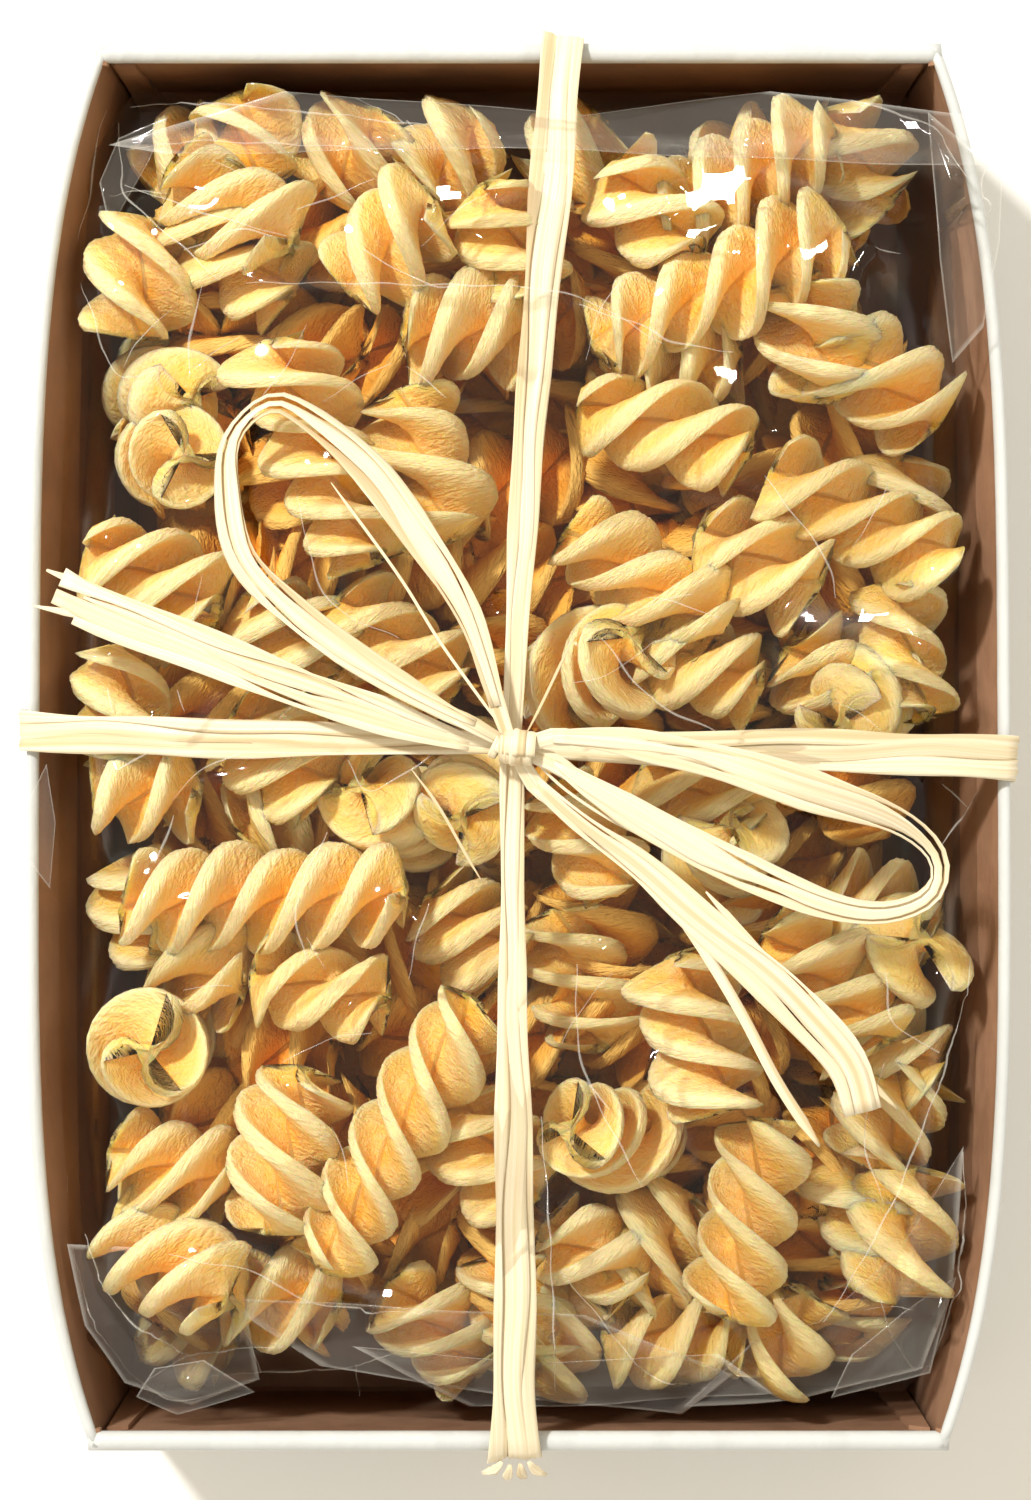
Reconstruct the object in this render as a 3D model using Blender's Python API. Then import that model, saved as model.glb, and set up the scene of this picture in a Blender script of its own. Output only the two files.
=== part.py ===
"""Pasta packet: an open card tray with a clear bag of fusilli in it, tied crosswise with raffia.

Metres, +Z up, +Y the long way of the tray. The packet stands on z = 0 on the raffia that passes
under it, and its middle is at x = y = 0. Every object is one closed solid.
"""

import math

import bmesh
import bpy
from mathutils import Vector

MM = 0.001

# The tray is one folded board. Its side walls are pushed outward at the rim by the filling.
TRAY_HALF_LENGTH = 84.5 * MM
TRAY_HALF_WIDTH = 50.75 * MM
TRAY_TAPER = 0.45 * MM
TRAY_BOW = 8.3 * MM
TRAY_HEIGHT = 40.0 * MM
BASE_THICKNESS = 1.0 * MM
SIDE_THICKNESS = 1.3 * MM
END_THICKNESS = 1.6 * MM
END_ROLL_RADIUS = 1.25 * MM
END_ROLL_SINK = 1.0 * MM
END_ROLL_REACH = 0.3 * MM
TRAY_WALL_LEVELS = 6
TRAY_SIDE_STEPS = 24

# Raffia bundles. The tie is two crossed bands, drawn tight round the tray and the bag.
BAND_THICKNESS = 0.9 * MM
LONG_BAND_WIDTH = 4.8 * MM
CROSS_BAND_WIDTH = 4.6 * MM
LONG_BAND_CREST = 50.0 * MM
CROSS_BAND_CREST = 49.6 * MM
BAND_ARC_STEPS = 5
BAND_TOP_STEPS = 14
CORD_DIAMETER = 3.2 * MM
CORD_SPACING = 4.3 * MM

# Pieces that touch keep this gap.
GAP = 0.3 * MM

TRAY_BASE_Z = BAND_THICKNESS + GAP + 0.1 * MM
TRAY_TOP_Z = TRAY_BASE_Z + TRAY_HEIGHT
FLOOR_Z = TRAY_BASE_Z + BASE_THICKNESS

# The bag lies against the side walls and stops short of the end walls.
BAG_HALF_LENGTH = 78.0 * MM
BAG_CLEARANCE = 0.9 * MM
BAG_CROWN_Z = 47.0 * MM
BAG_SHOULDER_Z = 33.0 * MM
BAG_SEGMENTS = 84
BAG_SQUARENESS = 6.5
BAG_END_FALL = 9.0 * MM
LUMP_HEIGHT = 3.0 * MM
LUMP_PITCH = 15.0 * MM
GROOVE_HALF_WIDTH = 7.0 * MM

# The knot sits on the crossing of the two bands.
KNOT_PLACE = Vector((-0.8, -0.1, 53.5)) * MM
KNOT_RADII = Vector((3.0, 2.6, 2.65)) * MM
KNOT_STUB_RADIUS = 1.25 * MM
KNOT_STUB_GAP = 0.7 * MM

# Routes of the loose raffia, in millimetres, from the knot outward.
LOOP_LEFT = (
    (-2.4, 4.8, 53.4), (-5.7, 14.9, 53.4), (-11.5, 24.3, 53.2), (-17.4, 32.5, 52.8),
    (-25.6, 39.5, 52.2), (-29.7, 40.4, 52.0), (-33.6, 36.6, 51.8), (-34.2, 31.0, 51.8),
    (-32.4, 22.4, 52.2), (-25.8, 15.6, 53.0), (-17.6, 9.4, 54.2), (-9.4, 4.6, 55.2),
    (-5.2, 2.5, 55.5),
)
LOOP_RIGHT = (
    (4.0, 1.2, 55.4), (9.5, 1.0, 55.1), (15.4, 0.2, 54.6), (26.0, -2.4, 53.8),
    (36.5, -6.0, 53.0), (44.7, -8.8, 52.2), (48.8, -12.1, 51.8), (49.4, -15.6, 51.6),
    (47.2, -18.3, 51.5), (42.0, -19.6, 51.6), (35.3, -18.4, 51.9), (26.0, -14.3, 52.6),
    (16.6, -9.4, 53.4), (9.0, -5.0, 53.9), (4.1, -1.9, 53.9),
)
TAIL_LEFT = (
    (-5.7, 0.4, 52.2), (-14.0, 3.0, 52.1), (-25.6, 6.9, 52.0), (-37.3, 10.9, 51.9),
    (-48.6, 15.6, 51.6), (-54.4, 18.2, 51.4),
)
TAIL_RIGHT = (
    (2.0, -4.4, 52.2), (8.0, -9.4, 52.1), (15.4, -14.9, 52.0), (23.8, -22.4, 51.9),
    (33.0, -31.0, 51.7), (38.4, -37.0, 51.4), (40.4, -43.0, 51.0),
)


def clear_scene():
    """Empty the file of objects, leaving its settings alone."""
    for obj in list(bpy.data.objects):
        bpy.data.objects.remove(obj, do_unlink=True)


def make_collection(name):
    """A new collection linked to the scene."""
    collection = bpy.data.collections.new(name)
    bpy.context.scene.collection.children.link(collection)
    return collection


def make_material(name, color, roughness, metallic=0.0):
    """A plain Principled material."""
    material = bpy.data.materials.new(name)
    material.use_nodes = True
    shader = material.node_tree.nodes["Principled BSDF"]
    shader.inputs["Base Color"].default_value = (*color, 1.0)
    shader.inputs["Roughness"].default_value = roughness
    shader.inputs["Metallic"].default_value = metallic
    return material


def mesh_object(name, bm, collection, material=None):
    """Turn a bmesh into an object with outward normals."""
    bmesh.ops.recalc_face_normals(bm, faces=bm.faces)
    mesh = bpy.data.meshes.new(name)
    bm.to_mesh(mesh)
    bm.free()
    obj = bpy.data.objects.new(name, mesh)
    collection.objects.link(obj)
    if material:
        mesh.materials.append(material)
    return obj


def hide_cutter(obj):
    """A Boolean operand is not drawn as a part."""
    obj.hide_render = True
    obj.display_type = "WIRE"


def join_with(obj, operand):
    """Union the operand into obj with a Boolean modifier."""
    hide_cutter(operand)
    modifier = obj.modifiers.new(f"join_{operand.name}", "BOOLEAN")
    modifier.operation = "UNION"
    modifier.solver = "EXACT"
    modifier.object = operand


def loft(bm, rings):
    """Bridge closed rings of equal length in order, and return their vertices."""
    made = []
    for ring in rings:
        made.append([bm.verts.new(point) for point in ring])
    for low, high in zip(made, made[1:]):
        count = len(low)
        for i in range(count):
            j = (i + 1) % count
            bm.faces.new((low[i], low[j], high[j], high[i]))
    return made


# ---------------------------------------------------------------- tray

def tray_half_width(y, z):
    """Half the outer width of the tray: straight at its base, bowed out at its rim."""
    along = y / TRAY_HALF_LENGTH
    share = min(max((z - TRAY_BASE_Z) / TRAY_HEIGHT, 0.0), 1.0)
    straight = TRAY_HALF_WIDTH - TRAY_TAPER * along
    return straight + TRAY_BOW * (1.0 - along ** 4) * share ** 1.3


def tray_ring(z, side_inset, end_inset):
    """One level of the wall: up the right side, then back down the left side."""
    reach = TRAY_HALF_LENGTH - end_inset
    ring = []
    for side in (1, -1):
        for step in range(TRAY_SIDE_STEPS + 1):
            y = side * reach * (2.0 * step / TRAY_SIDE_STEPS - 1.0)
            ring.append(Vector((side * (tray_half_width(y, z) - side_inset), y, z)))
    return ring


def fill_across(bm, ring):
    """Close a level with strips that run from one side wall to the other."""
    last = len(ring) - 1
    for k in range(len(ring) // 2 - 1):
        bm.faces.new((ring[k], ring[k + 1], ring[last - k - 1], ring[last - k]))


def build_tray(collection, cutters, material):
    """The folded board tray, with the end walls' rolled rims."""
    bm = bmesh.new()
    rings = []
    for level in range(TRAY_WALL_LEVELS + 1):
        z = TRAY_BASE_Z + TRAY_HEIGHT * level / TRAY_WALL_LEVELS
        rings.append(tray_ring(z, 0.0, 0.0))
    for level in range(TRAY_WALL_LEVELS, -1, -1):
        z = FLOOR_Z + (TRAY_TOP_Z - FLOOR_Z) * level / TRAY_WALL_LEVELS
        rings.append(tray_ring(z, SIDE_THICKNESS, END_THICKNESS))
    made = loft(bm, rings)
    fill_across(bm, made[0])
    fill_across(bm, made[-1])
    tray = mesh_object("tray", bm, collection, material)
    for side, name in ((1, "roll_back"), (-1, "roll_front")):
        half = TRAY_HALF_WIDTH - side * TRAY_TAPER + END_ROLL_REACH
        bpy.ops.mesh.primitive_cylinder_add(
            vertices=16,
            radius=END_ROLL_RADIUS,
            depth=2.0 * half,
            location=(0.0, side * (TRAY_HALF_LENGTH - END_ROLL_SINK), TRAY_TOP_Z - END_ROLL_SINK),
            rotation=(0.0, math.radians(90.0), 0.0),
        )
        roll = bpy.context.active_object
        roll.name = name
        move_to(roll, cutters)
        join_with(tray, roll)
    return tray


def move_to(obj, collection):
    """Keep an object in this collection only."""
    for old in list(obj.users_collection):
        old.objects.unlink(obj)
    collection.objects.link(obj)


# ---------------------------------------------------------------- raffia bands

def long_band_x(y):
    """The long band slants to the right on its way to the back end."""
    along = y / TRAY_HALF_LENGTH
    if along > 0.0:
        return (-0.8 + 6.2 * along ** 1.3) * MM
    return (-0.8 - 0.4 * along) * MM


def cross_band_y(x):
    """The cross band slopes gently down to the right."""
    return 0.3 * MM - 0.025 * x


def crest_fall(crest, rim, share):
    """Height of a tight band between the knot and the rim."""
    return crest - (crest - rim) * share ** 3


def long_band_top(y):
    """Centre height of the long band over the bag."""
    end = TRAY_HALF_LENGTH - END_ROLL_SINK
    rim = TRAY_TOP_Z - END_ROLL_SINK + END_ROLL_RADIUS + GAP + BAND_THICKNESS / 2
    return crest_fall(LONG_BAND_CREST, rim, min(abs(y) / end, 1.0))


def cross_band_top(x):
    """Centre height of the cross band over the bag."""
    end = tray_half_width(0.0, TRAY_TOP_Z) - SIDE_THICKNESS / 2
    rim = TRAY_TOP_Z + GAP + BAND_THICKNESS / 2
    return crest_fall(CROSS_BAND_CREST, rim, min(abs(x) / end, 1.0))


def arc_points(centre, radius, start, stop):
    """Points of an arc in a band's own plane, angles in degrees."""
    points = []
    for step in range(BAND_ARC_STEPS + 1):
        angle = math.radians(start + (stop - start) * step / BAND_ARC_STEPS)
        points.append((centre[0] + radius * math.cos(angle), centre[1] + radius * math.sin(angle)))
    return points


def band_route(top, rim_centre, rim_radius, foot_centre, foot_radius):
    """Closed route of a band: over the top, round the rim, down the wall and under the base."""
    half = []
    for step in range(BAND_TOP_STEPS):
        u = rim_centre[0] * step / BAND_TOP_STEPS
        half.append((u, top(u)))
    half += arc_points(rim_centre, rim_radius, 75.0, 0.0)
    half += arc_points(foot_centre, foot_radius, 0.0, -90.0)
    mirrored = [(-u, z) for u, z in reversed(half[1:])]
    return half + mirrored


def build_band(name, route, width, place, across, collection, material=None):
    """Sweep a flat rectangle along a closed route."""
    bm = bmesh.new()
    sections = []
    count = len(route)
    for i in range(count):
        before = route[i - 1]
        here = route[i]
        after = route[(i + 1) % count]
        into = Vector((here[0] - before[0], here[1] - before[1])).normalized()
        out = Vector((after[0] - here[0], after[1] - here[1])).normalized()
        tangent = (into + out).normalized()
        normal = Vector((-tangent[1], tangent[0]))
        reach = BAND_THICKNESS / 2 / max(normal.dot(Vector((-into[1], into[0]))), 0.5)
        section = []
        for side, face in ((-1, -1), (1, -1), (1, 1), (-1, 1)):
            flat = Vector(here) + normal * face * reach
            section.append(place(flat[0], flat[1]) + across * side * width / 2)
        sections.append([bm.verts.new(point) for point in section])
    for i in range(count):
        here = sections[i]
        after = sections[(i + 1) % count]
        for k in range(4):
            m = (k + 1) % 4
            bm.faces.new((here[k], here[m], after[m], after[k]))
    return mesh_object(name, bm, collection, material)


def build_tie(collection, cutters, material):
    """Two crossed bands, joined where they cross over the bag and under the tray."""
    half = BAND_THICKNESS / 2
    foot_radius = TRAY_BASE_Z + GAP - half
    foot_z = TRAY_BASE_Z + GAP
    end = TRAY_HALF_LENGTH - END_ROLL_SINK
    end_radius = END_ROLL_RADIUS + GAP + half
    long_route = band_route(
        long_band_top,
        (end, TRAY_TOP_Z - END_ROLL_SINK),
        end_radius,
        (end + end_radius - foot_radius, foot_z),
        foot_radius,
    )
    side = tray_half_width(0.0, TRAY_TOP_Z) - SIDE_THICKNESS / 2
    cross_route = band_route(
        cross_band_top,
        (side, TRAY_TOP_Z - SIDE_THICKNESS / 2),
        SIDE_THICKNESS / 2 + GAP + half,
        (tray_half_width(0.0, TRAY_BASE_Z) - GAP, foot_z),
        foot_radius,
    )
    tie = build_band(
        "raffia_tie", long_route, LONG_BAND_WIDTH,
        lambda u, z: Vector((long_band_x(u), u, z)), Vector((1.0, 0.0, 0.0)), collection, material,
    )
    cross = build_band(
        "cross_band", cross_route, CROSS_BAND_WIDTH,
        lambda u, z: Vector((u, cross_band_y(u), z)), Vector((0.0, 1.0, 0.0)), cutters,
    )
    join_with(tie, cross)
    return tie


# ---------------------------------------------------------------- bag of pasta

def lumps(x, y):
    """Uneven surface of the heap, with swells about as far apart as the pasta is thick."""
    k = math.tau / LUMP_PITCH
    first = math.sin(0.9 * k * x + 0.5) * math.sin(0.62 * k * y + 1.1)
    second = math.sin(0.41 * k * x - 0.77 * k * y)
    third = math.cos(1.3 * k * (x + 0.4 * y)) * math.sin(0.33 * k * y)
    return LUMP_HEIGHT * (0.5 * first + 0.3 * second + 0.2 * third)


def heap_top(x, y, share):
    """Height of the bag's upper face, pressed down where the bands cross it."""
    crown = BAG_SHOULDER_Z + (BAG_CROWN_Z - BAG_SHOULDER_Z) * (1.0 - share ** 7) ** 0.6
    end_fall = BAG_END_FALL * abs(y / BAG_HALF_LENGTH) ** 10
    z = crown - end_fall + lumps(x, y) * (1.0 - share ** 8)
    limits = (
        (abs(x - long_band_x(y)), long_band_top(y)),
        (abs(y - cross_band_y(x)), cross_band_top(x)),
    )
    for away, band in limits:
        if away < GROOVE_HALF_WIDTH:
            spare = max(away - LONG_BAND_WIDTH / 2, 0.0)
            z = min(z, band - BAND_THICKNESS / 2 - 2.0 * GAP + 0.5 * spare)
    return z


def bag_ring(share, z=None):
    """A ring of the bag. The upper rings take their height from the heap."""
    ring = []
    for i in range(BAG_SEGMENTS):
        angle = math.tau * (i + 0.5) / BAG_SEGMENTS
        cos, sin = math.cos(angle), math.sin(angle)
        across = math.copysign(abs(cos) ** (2.0 / BAG_SQUARENESS), cos)
        along = math.copysign(abs(sin) ** (2.0 / BAG_SQUARENESS), sin)
        y = along * BAG_HALF_LENGTH * share
        level = BAG_SHOULDER_Z if z is None else z
        wall = tray_half_width(y, level) - SIDE_THICKNESS - BAG_CLEARANCE
        x = across * wall * share
        height = heap_top(x, y, share) if z is None else z
        ring.append(Vector((x, y, height)))
    return ring


def build_bag(collection, material):
    """The filled bag as one uneven pillow."""
    bottom = FLOOR_Z + GAP
    rings = [
        bag_ring(0.93, bottom),
        bag_ring(0.985, bottom + 3.0 * MM),
        bag_ring(1.0, bottom + 9.0 * MM),
        bag_ring(1.0, bottom + 20.0 * MM),
    ]
    for share in (1.0, 0.975, 0.94, 0.89, 0.83, 0.76, 0.68, 0.59, 0.49, 0.39, 0.29, 0.19, 0.09):
        rings.append(bag_ring(share))
    bm = bmesh.new()
    made = loft(bm, rings)
    bm.faces.new(made[0])
    centre = bm.verts.new((0.0, 0.0, heap_top(0.0, 0.0, 0.0)))
    top = made[-1]
    for i, vert in enumerate(top):
        bm.faces.new((vert, top[(i + 1) % len(top)], centre))
    return mesh_object("pasta_bag", bm, collection, material)


# ---------------------------------------------------------------- knot and loose raffia

def stub_towards(name, target, cutters):
    """A short gathered end of raffia, from the knot's middle toward a loose bundle."""
    route = Vector(target) * MM - KNOT_PLACE
    length = route.length - KNOT_STUB_GAP
    bpy.ops.mesh.primitive_cone_add(
        vertices=12,
        radius1=KNOT_STUB_RADIUS * 0.7,
        radius2=KNOT_STUB_RADIUS,
        depth=length,
        location=KNOT_PLACE + route.normalized() * length / 2,
        rotation=route.to_track_quat("Z", "Y").to_euler(),
    )
    stub = bpy.context.active_object
    stub.name = name
    move_to(stub, cutters)
    return stub


def build_knot(collection, cutters, material):
    """The knot, with the gathered ends that the loops and tails leave by."""
    bpy.ops.mesh.primitive_uv_sphere_add(segments=20, ring_count=12, radius=1.0)
    knot = bpy.context.active_object
    knot.name = "raffia_knot"
    knot.location = KNOT_PLACE
    knot.scale = KNOT_RADII
    knot.data.materials.append(material)
    move_to(knot, collection)
    ends = (
        LOOP_LEFT[0], LOOP_LEFT[-1], LOOP_RIGHT[0], LOOP_RIGHT[-1], TAIL_LEFT[0], TAIL_RIGHT[0],
    )
    for number, end in enumerate(ends):
        join_with(knot, stub_towards(f"knot_stub_{number}", end, cutters))
    return knot


def smooth_route(points, spacing):
    """Evenly spaced points on a Catmull-Rom curve through the given points."""
    knots = [Vector(point) * MM for point in points]
    knots = [2 * knots[0] - knots[1]] + knots + [2 * knots[-1] - knots[-2]]
    fine = []
    for a, b, c, d in zip(knots, knots[1:], knots[2:], knots[3:]):
        for step in range(20):
            t = step / 20
            fine.append(0.5 * (2 * b + (c - a) * t + (2 * a - 5 * b + 4 * c - d) * t ** 2
                               + (3 * b - 3 * c + d - a) * t ** 3))
    fine.append(knots[-2])
    length = sum((q - p).length for p, q in zip(fine, fine[1:]))
    count = max(2, round(length / spacing))
    even = [fine[0]]
    run = 0.0
    for p, q in zip(fine, fine[1:]):
        step = (q - p).length
        while len(even) < count and run + step >= length * len(even) / count:
            even.append(p.lerp(q, (length * len(even) / count - run) / step))
        run += step
    even.append(fine[-1])
    print(f"route of {len(even)} points, {length * 1000:.1f} mm")
    return even


def build_cord(name, points, collection, material):
    """A loose raffia bundle as a plain tube."""
    curve = bpy.data.curves.new(name, "CURVE")
    curve.dimensions = "3D"
    curve.bevel_depth = CORD_DIAMETER / 2
    curve.bevel_resolution = 2
    curve.use_fill_caps = True
    route = smooth_route(points, CORD_SPACING)
    spline = curve.splines.new("POLY")
    spline.points.add(len(route) - 1)
    for point, place in zip(spline.points, route):
        point.co = (*place, 1.0)
    cord = bpy.data.objects.new(name, curve)
    curve.materials.append(material)
    collection.objects.link(cord)
    return cord


def main():
    clear_scene()
    packet = make_collection("pasta_packet")
    cutters = make_collection("cutters")
    card = make_material("card", (0.80, 0.84, 0.86), 0.45)
    pasta = make_material("pasta", (0.80, 0.52, 0.18), 0.55)
    tie_raffia = make_material("tie_raffia", (0.88, 0.80, 0.55), 0.6)
    knot_raffia = make_material("knot_raffia", (0.86, 0.77, 0.50), 0.6)
    loose_raffia = make_material("loose_raffia", (0.90, 0.83, 0.60), 0.6)
    build_tray(packet, cutters, card)
    build_bag(packet, pasta)
    build_tie(packet, cutters, tie_raffia)
    build_knot(packet, cutters, knot_raffia)
    build_cord("raffia_loop_left", LOOP_LEFT, packet, loose_raffia)
    build_cord("raffia_loop_right", LOOP_RIGHT, packet, loose_raffia.copy())
    build_cord("raffia_tail_left", TAIL_LEFT, packet, loose_raffia.copy())
    build_cord("raffia_tail_right", TAIL_RIGHT, packet, loose_raffia.copy())


main()
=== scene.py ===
# %% [markdown]
# # A packet of fusilli tied with raffia
#
# The packet is an open tray folded from card, a clear bag of big spiral pasta lying in it, and
# flat raffia drawn round both ways and tied in a bow. The solids of the frame settle every size.
# This file gives each piece its real surface: folded card, twisted pasta, crumpled film and
# split strands of raffia. Lengths are in metres, and MM turns millimetres into metres.

# %% The frame and its sizes
import math
import random

import bmesh
import bpy
import numpy as np
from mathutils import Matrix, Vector
from mathutils.bvhtree import BVHTree


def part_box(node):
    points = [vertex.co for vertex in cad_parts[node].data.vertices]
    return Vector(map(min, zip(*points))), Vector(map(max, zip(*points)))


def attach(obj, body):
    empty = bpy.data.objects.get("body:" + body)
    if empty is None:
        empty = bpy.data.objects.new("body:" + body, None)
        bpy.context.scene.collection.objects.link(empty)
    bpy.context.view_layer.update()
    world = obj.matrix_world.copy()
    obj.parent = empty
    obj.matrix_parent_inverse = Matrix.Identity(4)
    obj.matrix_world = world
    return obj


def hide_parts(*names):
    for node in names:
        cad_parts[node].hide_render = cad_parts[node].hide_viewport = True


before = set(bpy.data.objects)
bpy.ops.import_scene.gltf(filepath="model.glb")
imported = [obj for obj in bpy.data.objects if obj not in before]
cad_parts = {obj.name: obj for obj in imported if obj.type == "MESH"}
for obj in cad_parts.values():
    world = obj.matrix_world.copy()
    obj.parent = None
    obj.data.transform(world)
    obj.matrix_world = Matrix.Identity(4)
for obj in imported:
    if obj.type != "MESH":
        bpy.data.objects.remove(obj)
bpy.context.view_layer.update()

MM = 0.001
UP = Vector((0.0, 0.0, 1.0))
tray_low, tray_high = [Vector(corner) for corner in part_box("tray")]
bag_high = Vector(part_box("pasta_bag")[1])
knot_low, knot_high = [Vector(corner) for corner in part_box("raffia_knot")]
knot_middle = (knot_low + knot_high) / 2
RIM_Z = tray_high.z - 0.25 * MM
print("tray", [round(v / MM, 1) for v in tray_high - tray_low], "mm, rim at", round(RIM_Z / MM, 1))

# %% [markdown]
# ## Camera
#
# The packet is seen from straight above, close enough that the inner faces of all four walls
# open out a little. A camera about half a metre over the rim with a long lens gives just that
# much perspective. A wider lens closer in would show too much of the walls.

# %% Camera over the tray
camera_data = bpy.data.cameras.new("camera_above")
camera_data.sensor_width = 36.0
camera_data.lens = 96.0
camera = bpy.data.objects.new("camera_above", camera_data)
camera.location = (-0.36 * MM, -0.36 * MM, RIM_Z + 480.0 * MM)
bpy.context.scene.collection.objects.link(camera)
bpy.context.scene.camera = camera
LAMP_PLACE = Vector((-0.55, 0.62, 1.05))
print("camera", round(camera.location.z, 3), "m above the table")

# %% [markdown]
# ## Small helpers
#
# Most pieces here are swept or twisted forms with hundreds of points, so they are written with
# bmesh: rings of vertices joined by faces. A helper turns a bmesh into an object that rides on
# the packet. Three facts are stored at each vertex. "shade" runs from a sunken place at 0 to an
# exposed edge at 1: the pasta materials paint shade in the grooves and a highlight on the rims
# from it, the film materials paint a milky highlight along folds from it, and the card is made
# paler at the top of its rims. "tone" is one number for each separate strand or spiral, and
# "grain" is a place along and across a fibre, so that a material can follow the piece however
# it bends.

# %% Making objects and storing vertex facts
def finish_piece(name, bm, material, smooth=True, replaces=()):
    """Turn a bmesh into an object of the packet."""
    bmesh.ops.recalc_face_normals(bm, faces=bm.faces)
    for face in bm.faces:
        face.smooth = smooth
    mesh = bpy.data.meshes.new(name)
    bm.to_mesh(mesh)
    bm.free()
    obj = bpy.data.objects.new(name, mesh)
    bpy.context.scene.collection.objects.link(obj)
    if material:
        mesh.materials.append(material)
    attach(obj, "root")
    if replaces:
        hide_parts(*replaces)
    return obj


def facts(bm):
    """The layers for shade, a tone for each separate piece, and the fibre place."""
    shade = bm.verts.layers.float.new("shade")
    tone = bm.verts.layers.float.new("tone")
    grain = bm.verts.layers.float_vector.new("grain")
    return shade, tone, grain


def join_rings(bm, rings, closed=True):
    """Bridge rings of vertices one after another."""
    for low, high in zip(rings, rings[1:]):
        count = len(low)
        for i in range(count if closed else count - 1):
            j = (i + 1) % count
            bm.faces.new((low[i], low[j], high[j], high[i]))


def fan(bm, ring, middle):
    """Close a ring with triangles round a middle vertex."""
    for i, vert in enumerate(ring):
        bm.faces.new((vert, ring[(i + 1) % len(ring)], middle))


print("helpers ready")

# %% [markdown]
# ## Shader groups that several materials share
#
# Real surfaces are never one colour. Three effects turn up again and again: soft mottling,
# fine fibres that run one way, and a pebbled skin. Each is a node group with named inputs and
# outputs, so that card, raffia and pasta can use it with their own values. The groups only put
# out masks and heights. The shader itself stays in each material.

# %% Node group helpers
def new_group(name, inputs, outputs):
    """A shader node group with float or vector sockets."""
    tree = bpy.data.node_groups.new(name, "ShaderNodeTree")
    for socket, kind, value in inputs:
        made = tree.interface.new_socket(socket, in_out="INPUT", socket_type=f"NodeSocket{kind}")
        if value is not None:
            made.default_value = value
    for socket in outputs:
        tree.interface.new_socket(socket, in_out="OUTPUT", socket_type="NodeSocketFloat")
    start = tree.nodes.new("NodeGroupInput")
    end = tree.nodes.new("NodeGroupOutput")
    return tree, start, end


def add_node(tree, kind, **values):
    """A node with its settings and its socket values."""
    node = tree.nodes.new(f"ShaderNode{kind}")
    for key, value in values.items():
        if key in node.inputs:
            node.inputs[key].default_value = value
        elif key.replace("_", " ") in node.inputs:
            node.inputs[key.replace("_", " ")].default_value = value
        else:
            setattr(node, key, value)
    return node


def wire(tree, *links):
    """Join output sockets to input sockets."""
    for out, into in links:
        tree.links.new(out, into)


def math_node(tree, operation, a, b=None):
    """A maths node fed by sockets or numbers."""
    node = tree.nodes.new("ShaderNodeMath")
    node.operation = operation
    for socket, value in zip(node.inputs, (a, b)):
        if value is None:
            continue
        if isinstance(value, (int, float)):
            socket.default_value = value
        else:
            tree.links.new(value, socket)
    return node.outputs[0]


# %% Mottling, fibres and pebbled skin
def make_mottle():
    """Broad soft patches with finer ones in them."""
    tree, start, end = new_group(
        "mottle", (("Place", "Vector", None), ("Patches per metre", "Float", 60.0)), ("Mask",)
    )
    broad = add_node(tree, "TexNoise", Detail=1.5, Roughness=0.55)
    fine = add_node(tree, "TexNoise", Detail=1.0)
    finer = math_node(tree, "MULTIPLY", start.outputs[1], 5.3)
    wire(
        tree,
        (start.outputs[0], broad.inputs["Vector"]),
        (start.outputs[0], fine.inputs["Vector"]),
        (start.outputs[1], broad.inputs["Scale"]),
        (finer, fine.inputs["Scale"]),
    )
    share = math_node(tree, "MULTIPLY", broad.outputs[0], 0.7)
    rest = math_node(tree, "MULTIPLY", fine.outputs[0], 0.3)
    wire(tree, (math_node(tree, "ADD", share, rest), end.inputs[0]))
    return tree


def make_fibres():
    """Fine streaks that run along the second axis of the place."""
    tree, start, end = new_group(
        "fibres",
        (("Place", "Vector", None), ("Fibres per metre", "Float", 2500.0), ("Stretch", "Float", 0.02)),
        ("Streaks", "Splits"),
    )
    split = tree.nodes.new("ShaderNodeSeparateXYZ")
    along = math_node(tree, "MULTIPLY", split.outputs[1], start.outputs[2])
    join = tree.nodes.new("ShaderNodeCombineXYZ")
    streak = add_node(tree, "TexNoise", Detail=2.0, Roughness=0.6)
    broad = add_node(tree, "TexNoise", Detail=0.0)
    coarse = math_node(tree, "MULTIPLY", start.outputs[1], 0.22)
    wire(
        tree,
        (start.outputs[0], split.inputs[0]),
        (split.outputs[0], join.inputs[0]),
        (along, join.inputs[1]),
        (split.outputs[2], join.inputs[2]),
        (join.outputs[0], streak.inputs["Vector"]),
        (join.outputs[0], broad.inputs["Vector"]),
        (start.outputs[1], streak.inputs["Scale"]),
        (coarse, broad.inputs["Scale"]),
        (streak.outputs[0], end.inputs[0]),
    )
    ramp = add_node(tree, "MapRange")
    ramp.inputs["From Min"].default_value = 0.60
    ramp.inputs["From Max"].default_value = 0.68
    wire(tree, (broad.outputs[0], ramp.inputs["Value"]), (ramp.outputs[0], end.inputs[1]))
    return tree


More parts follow.
